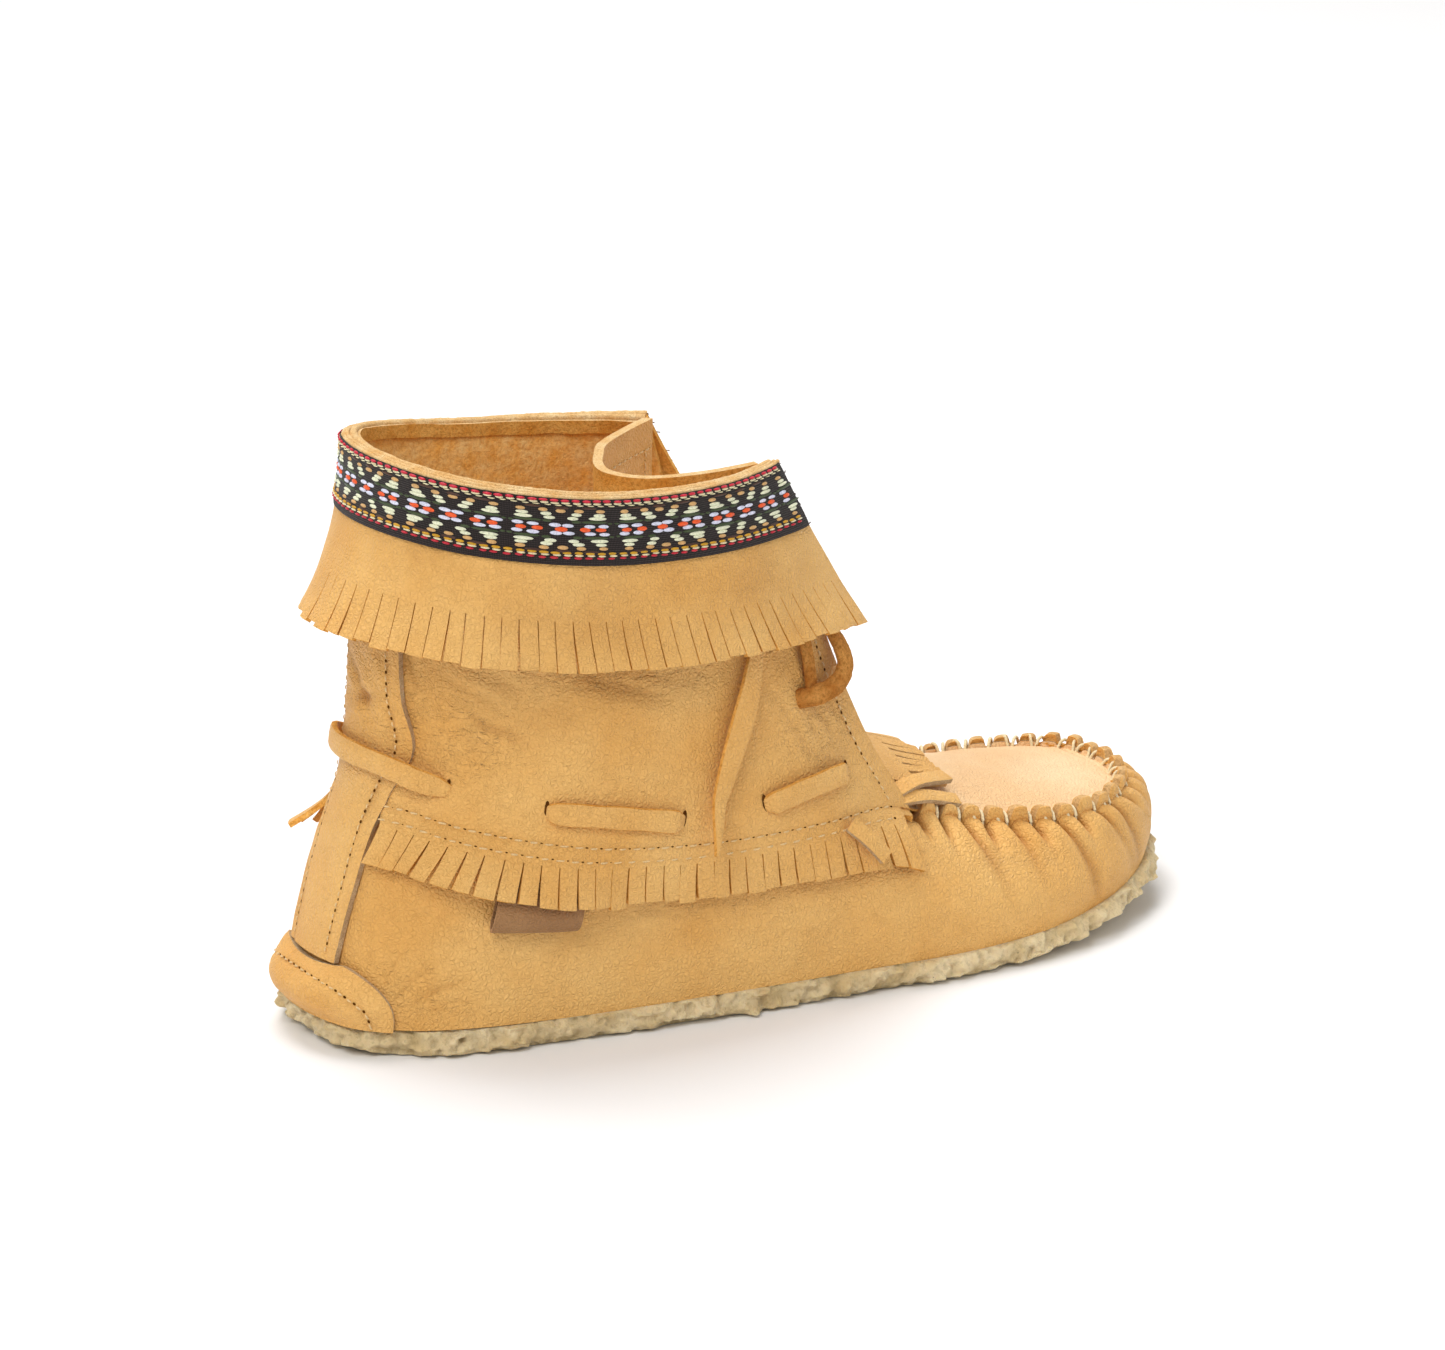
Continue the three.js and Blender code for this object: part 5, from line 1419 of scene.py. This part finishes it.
def hanging_thong():
    """Free end of the thong: it comes from under the cuff and hangs to a cut point."""
    count = 40
    t = np.linspace(0, 1, count)
    share = 0.80 - 0.125 * t
    v = 0.52 - 0.5 * t
    lift = 1.3 * GAP + 2.6 * t + 0.5 * np.sin(t * 7) + 0.4
    point, out = shaft_line(share, v, lift)
    tip = ease(t, 0.8, 1.0)
    point = point + out * (tip * (OVERLAY + 1.6))[:, None]
    point[:, 2] -= 0.08 * SEAM_HEIGHT * tip
    along, across = frame_on(point, out)
    out = np.cross(along, across)
    half = np.interp(t, [0, .2, .36, .55, .75, .9, 1], [2.1, 2.9, 3.35, 3.0, 2.3, 1.3, .25])
    sections = strap_section(half, np.full(count, THONG * 0.9), power=0.5)
    p, f = bend((point, across, out), sections)
    piece = make("hanging_thong", p, f, [leather, suede], raw_edges(f))
    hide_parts("thong_end")
    path = [tuple(0.001 * q) for q in point + out * THONG / 2]
    length = float(np.linalg.norm(np.diff(point, axis=0), axis=1).sum()) * 0.001
    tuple(path[0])


def suede_lace():
    """Lace of split suede across the throat: out of a slit in each flap and round its edge."""
    def flap(side):
        share = side * np.array([0.868, 0.884, 0.912, 0.940, 0.958, 0.962, 0.960])
        v = np.array([0.352, 0.358, 0.368, 0.392, 0.432, 0.480, 0.535])
        out = np.array([-2.8, GAP, GAP + 1.5, GAP + 1.9, GAP + 1.9, GAP + 1.3, GAP + 0.4])
        point, normal = shaft_line(share, v, out)
        edge = point[-1]
        extra = np.array([edge + (1.2, side * 1.2, 2), edge + (0.6, side * 8, 3)])
        lean = unit(np.array([(1, -side * 0.5, 0.2), (1, -side * 0.1, 0.2)]))
        return np.concatenate([point, extra]), np.concatenate([normal, lean])

    near, near_out = flap(1)
    far, far_out = flap(-1)
    knots = np.concatenate([near, far[::-1]])
    normals = np.concatenate([near_out, far_out[::-1]])
    point, out = smooth_line(knots, 150), unit(smooth_line(normals, 150))
    along, across = frame_on(point, out)
    out = np.cross(along, across)
    fuzz = rumple(point, 2.4, 91)
    half = LACE_WIDTH / 2 * (1.04 + 0.08 * fuzz)
    sides = 16
    section = strap_section(half, np.full(len(point), LACE + 0.6), sides=sides, power=0.7)
    p, f = bend((point, across, out), section)
    spine = np.repeat(np.concatenate([point[:1], point, point[-1:]]), sides, 0)
    p = p + unit(p - spine) * (0.14 * rumple(p, 0.8, 92))[:, None]
    piece = make("suede_lace_loop", p, f, [lace_suede], sharp=80)
    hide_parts("suede_lace")
    # the second strand runs from the slit straight up under the cuff
    t = np.linspace(0, 1, 30)
    for side, name in ((1, "outer"), (-1, "inner")):
        share = side * lerp(0.885, 0.905, t)
        v = lerp(0.345, 0.60, t)
        lift = 0.2 + 0.9 * np.sin(math.pi * t) - 2.4 * ease(t, 0.08, 0)
        point, out = shaft_line(share, v, lift)
        along, across = frame_on(point, out)
        p, f = bend((point, across, out), strap_section(np.full(30, 1.8), np.full(30, 1.5)))
        piece = make("lace_strand_" + name, p, f, [lace_suede], sharp=80)
    # flat dark domes at the lace's slits: painted shade
    shape, quads = dome(12, 2)
    at = on_shaft(np.array([0.878, -0.878]), 0.355, -0.1)
    out = unit(on_shaft(np.array([0.878, -0.878]), 0.355, 1) - at)
    along = unit(on_shaft(np.array([0.90, -0.86]), 0.355, -0.1) - at)
    p, f = stamp(shape, quads, at, along, np.cross(out, along), out, np.array([[2.6, 1.9, 0.35]]))
    piece = make("lace_slit_shades", p, f, [slit_shade], sharp=80)


def leather_tag():
    """Plain strip folded into a loop, its ends caught under the lifted fringe."""
    layer = 1.1
    middle = 0.079 * LENGTH
    x = np.linspace(middle - TAG_WIDTH / 2, middle + TAG_WIDTH / 2, 31)
    marks = np.linspace(20, 90, 800)
    turn = np.interp(x, wall_at(marks, 0.6)[:, 0], marks)
    # the strip's section: share of the wall's height and distance from it
    loop = np.array([(.79, 2.0), (.75, 2.2), (.71, 2.5), (.67, 2.9), (.63, 3.2), (.595, 3.3), (.565, 2.9),
                     (.545, 2.1), (.55, 1.2), (.575, .6), (.62, .5), (.67, .5), (.74, .5), (.79, .5)])
    fine = smooth_line(np.column_stack([loop[:, 0] * WALL_RISE, loop[:, 1], 0 * loop[:, 0]]), 60)
    t, v = np.meshgrid(turn, fine[:, 0] / WALL_RISE)
    lift = np.repeat(fine[:, 1][:, None], len(turn), 1)
    front = on_wall(t, v, GAP + lift * layer * 1.25)
    normal = grid_normals(front)
    front, back = front + normal * layer * 0.4, front - normal * layer * 0.4
    piece = leather_sheet("folded_tag", front, back, [tag_leather, tag_leather, tag_edge],
                          fields={"relief": 0 * t})
    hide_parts("leather_tag")


# Tongue
TONGUE = LEATHER
TONGUE_IN = -(LEATHER + 2 * GAP + TONGUE / 2)
BELLOWS_LOW, BELLOWS_TOP = 60, 103      # stations between which the side row of stitches runs
TONGUE_SLITS = 13                       # stations that the strips of its lower end take


def tongue_lip(w):
    """Upper edge of the tongue between the flaps' corners: a deep U, deepest on the outer side."""
    corner = on_shaft(-1.0, 1.0, -1.2)
    plan = np.array([(3, -49), (-12, -47.5), (-26, -42.5), (-30.5, -33), (-24, -18.5), (-10.5, -7.5),
                     (0, -0.5)])
    line, _, run = chain(smooth_line(np.column_stack([plan, 0 * plan[:, 0]]), 200), 0.5)
    goal = (1 + w) / 2 * run[-1]
    return np.stack([corner[k] + np.interp(goal, run, line[:, k]) for k in (0, 1)], -1)


def tongue_station(w, row):
    """One line across the tongue: on the apron for rows below 0, between the flaps above it."""
    if row < 0:
        turn = {-3: THROAT + 10.5, -2: THROAT + 5, -1: THROAT + 0.5}[row]
        half = {-3: 0.66, -2: 0.74, -1: 0.78}[row]
        p = apron_at(turn + 0 * w, w * half)
        up = normal_of(apron_at, turn + 0 * w, w * half, 0.5, 0.05)
        up = up * np.sign(up[..., 2:])
        return p + up * (1.6 * GAP + TONGUE / 2)
    height = min(row, 0.985)
    share = 0.955 + 0 * w
    outer = on_shaft(share, height + 0 * w, TONGUE_IN)
    inner = on_shaft(-share, height + 0 * w, TONGUE_IN)
    p = lerp(outer, inner, ((1 + w) / 2)[:, None])
    swell = 1 - np.abs(w) ** 3.2
    p[:, 0] -= BALL_WIDTH * read(BELLOWS, 1, np.full(w.shape, float(height))) * swell
    p[:, 2] += 0.12 * BALL_WIDTH * max(0, 0.3 - row) / 0.3 * swell
    p[:, :2] = lerp(p[:, :2], tongue_lip(w), float(ease(row, 0.35, 0.9)))
    if row > 0.9:
        p[:, 2] = lerp(float(rim_at(np.array(1.0))[2]), float(rim_at(np.array(-1.0))[2]), (1 + w) / 2)
        p[:, 2] -= SHAFT_RISE * (1.0 - row) + 1.2 * swell * (w < 0.3)
    return p


def tongue():
    strips, lines, stations = 14, 6, 110
    edges = np.linspace(-1, 1, strips + 1)
    place = np.linspace(-1, 1, lines)
    gap = 0.042
    w = np.concatenate([(a + b) / 2 + (b - a - gap) / 2 * place for a, b in zip(edges[:-1], edges[1:])])
    w[0], w[-1] = -1, 1
    number = np.repeat(np.arange(strips), lines)
    within = np.tile(place, strips)
    knots = np.stack([tongue_station(w, r) for r in (-3, -2, -1, .12, .26, .44, .64, .83, .999)])
    p = smooth_line(knots.reshape(len(knots), -1), stations).reshape(stations, len(w), 3)
    normal = grid_normals(p)
    if normal[BELLOWS_LOW, len(w) // 2, 0] < 0:
        normal = -normal
    lift = np.random.default_rng(23).uniform(0.1, 0.9, strips)[number]
    relief = 0.4 * rumple(p, 13, 95) + 0.15 * rumple(p, 5, 96)
    g = ease(np.arange(stations), 15, 0)[:, None]
    p = p + normal * (relief * (1 - g) * 0.8 + g * (lift + 0.2 * within)[None, :] * 0.9)[..., None]
    half = TONGUE / 2 * (1 + 0.35 * ease(np.arange(stations), 98, 109))[:, None, None]
    front, back = p + normal * half, p - normal * half
    order = np.cross(np.gradient(front, axis=1), np.gradient(front, axis=0))
    keep = np.ones((stations - 1, len(w) - 1), bool)
    keep[:TONGUE_SLITS, number[1:] != number[:-1]] = False
    if (order[BELLOWS_LOW, 30] * normal[BELLOWS_LOW, 30]).sum() < 0:
        front, back, keep = front[:, ::-1], back[:, ::-1], keep[:, ::-1]
        relief = relief[:, ::-1]
    piece = leather_sheet("bellows_tongue", front, back, [leather, suede, rim_edge], keep,
                          fields={"relief": relief})
    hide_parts("tongue")
    side = 3 if front[BELLOWS_LOW, 0, 1] > 0 else -4
    across, upright = front[BELLOWS_TOP, 2:-2], front[BELLOWS_LOW:BELLOWS_TOP, side]
    rows = [(across, across - back[BELLOWS_TOP, 2:-2]),
            (upright, upright - back[BELLOWS_LOW:BELLOWS_TOP, side])]
    stitches("tongue_edge_stitches", rows, 3.0, long=0.6)


def loose_strips():
    """Two strips that stick out over the seam at the outer throat corner, and one folded askew
    over the fringe behind it."""
    share = np.array([0.885, 0.905, 0.928])
    drop = np.array([2.6, 7.0, 11.6])
    askew = fringe_at(share, drop, FRINGE_OUT + np.array([0.3, 2.2, 2.6]))
    off_fringe = unit(fringe_at(share, drop, FRINGE_OUT + 2) - fringe_at(share, drop, FRINGE_OUT))[1]
    stations = 18
    parts = Parts()
    for knots, out, half in (
            ([(123.0, -31.0, 45.0), (133, -26.5, 45.6), (146.5, -20, 42.8)], (0.35, -0.25, 0.9), 2.2),
            ([(125.0, -31.3, 43.6), (134, -29.3, 42.6), (146.2, -25.6, 38.4)], (0.3, -0.5, 0.8), 1.9),
            (askew, off_fringe, 2.1)):
        path = smooth_line(np.array(knots), stations)
        along, across = frame_on(path, np.array(out))
        section = strap_section(np.full(stations, half), np.full(stations, 1.6), power=0.3)
        p, f = bend((path, across, np.cross(along, across)), section)
        parts.take(p, f, raw_edges(f))
    piece = parts.join("loose_fringe_strips", [leather, cut_edge], sharp=42)


# Stage: camera, floor and light
def photo_camera():
    azimuth, elevation = math.radians(-30), math.radians(18)
    back = Vector((math.sin(azimuth) * math.cos(elevation), -math.cos(azimuth) * math.cos(elevation),
                   math.sin(elevation)))
    data = bpy.data.cameras.new("photo_view")
    data.sensor_width = 36
    data.lens = 168.62
    data.shift_x = -0.00457
    data.shift_y = 0.00872
    camera = bpy.data.objects.new("photo_view", data)
    camera.location = Vector((0.095, 0, 0.070)) + back * 1.7
    camera.rotation_euler = back.to_track_quat("Z", "Y").to_euler()
    bpy.context.scene.collection.objects.link(camera)
    bpy.context.scene.camera = camera


def stage():
    # matt white paper, bright and even, with hardly a sheen
    material, _, shader = surface("white_paper_sweep", Roughness=0.85, Specular_IOR_Level=0.1)
    shader.inputs["Base Color"].default_value = colour("#F0F0F1")
    mesh = bpy.data.meshes.new("floor")
    mesh.from_pydata([(-4, -4, 0), (4, -4, 0), (4, 8, 0), (-4, 8, 0)], [], [(0, 1, 2, 3)])
    mesh.materials.append(material)
    floor = bpy.data.objects.new("floor", mesh)
    bpy.context.scene.collection.objects.link(floor)
    world = bpy.data.worlds.new("studio")
    world.use_nodes = True
    world.node_tree.nodes["Background"].inputs["Color"].default_value = (1, 0.99, 0.97, 1)
    world.node_tree.nodes["Background"].inputs["Strength"].default_value = 0.46
    bpy.context.scene.world = world
    bpy.context.scene.view_settings.view_transform = "Standard"
    for name, place, aim, size, watts, tint in (
            ("key_softbox", (-1.2, -0.95, 1.75), (0.08, 0, 0.06), 1.1, 25, (1, 0.99, 0.97)),
            ("top_softbox", (0.12, 0.62, 1.85), (0.10, 0, 0.05), 1.15, 30, (1, 0.99, 0.98)),
            ("side_fill", (1.7, -1.1, 0.9), (0.12, 0, 0.05), 1.0, 3.5, (1, 0.97, 0.97))):
        light = bpy.data.lights.new(name, "AREA")
        light.size = size
        light.energy = watts
        light.color = tint
        lamp = bpy.data.objects.new(name, light)
        lamp.location = place
        lamp.rotation_euler = (Vector(place) - Vector(aim)).to_track_quat("Z", "Y").to_euler()
        bpy.context.scene.collection.objects.link(lamp)


photo_camera()
hanging_thong()
crepe_sole()
insole()
foot_wall()
apron()
whip_stitches()
shaft()
cuff()
trim()
rim_edges()
back_strip()
heel_tab()
all_stitches()
thongs()
suede_lace()
leather_tag()
tongue()
loose_strips()
stage()
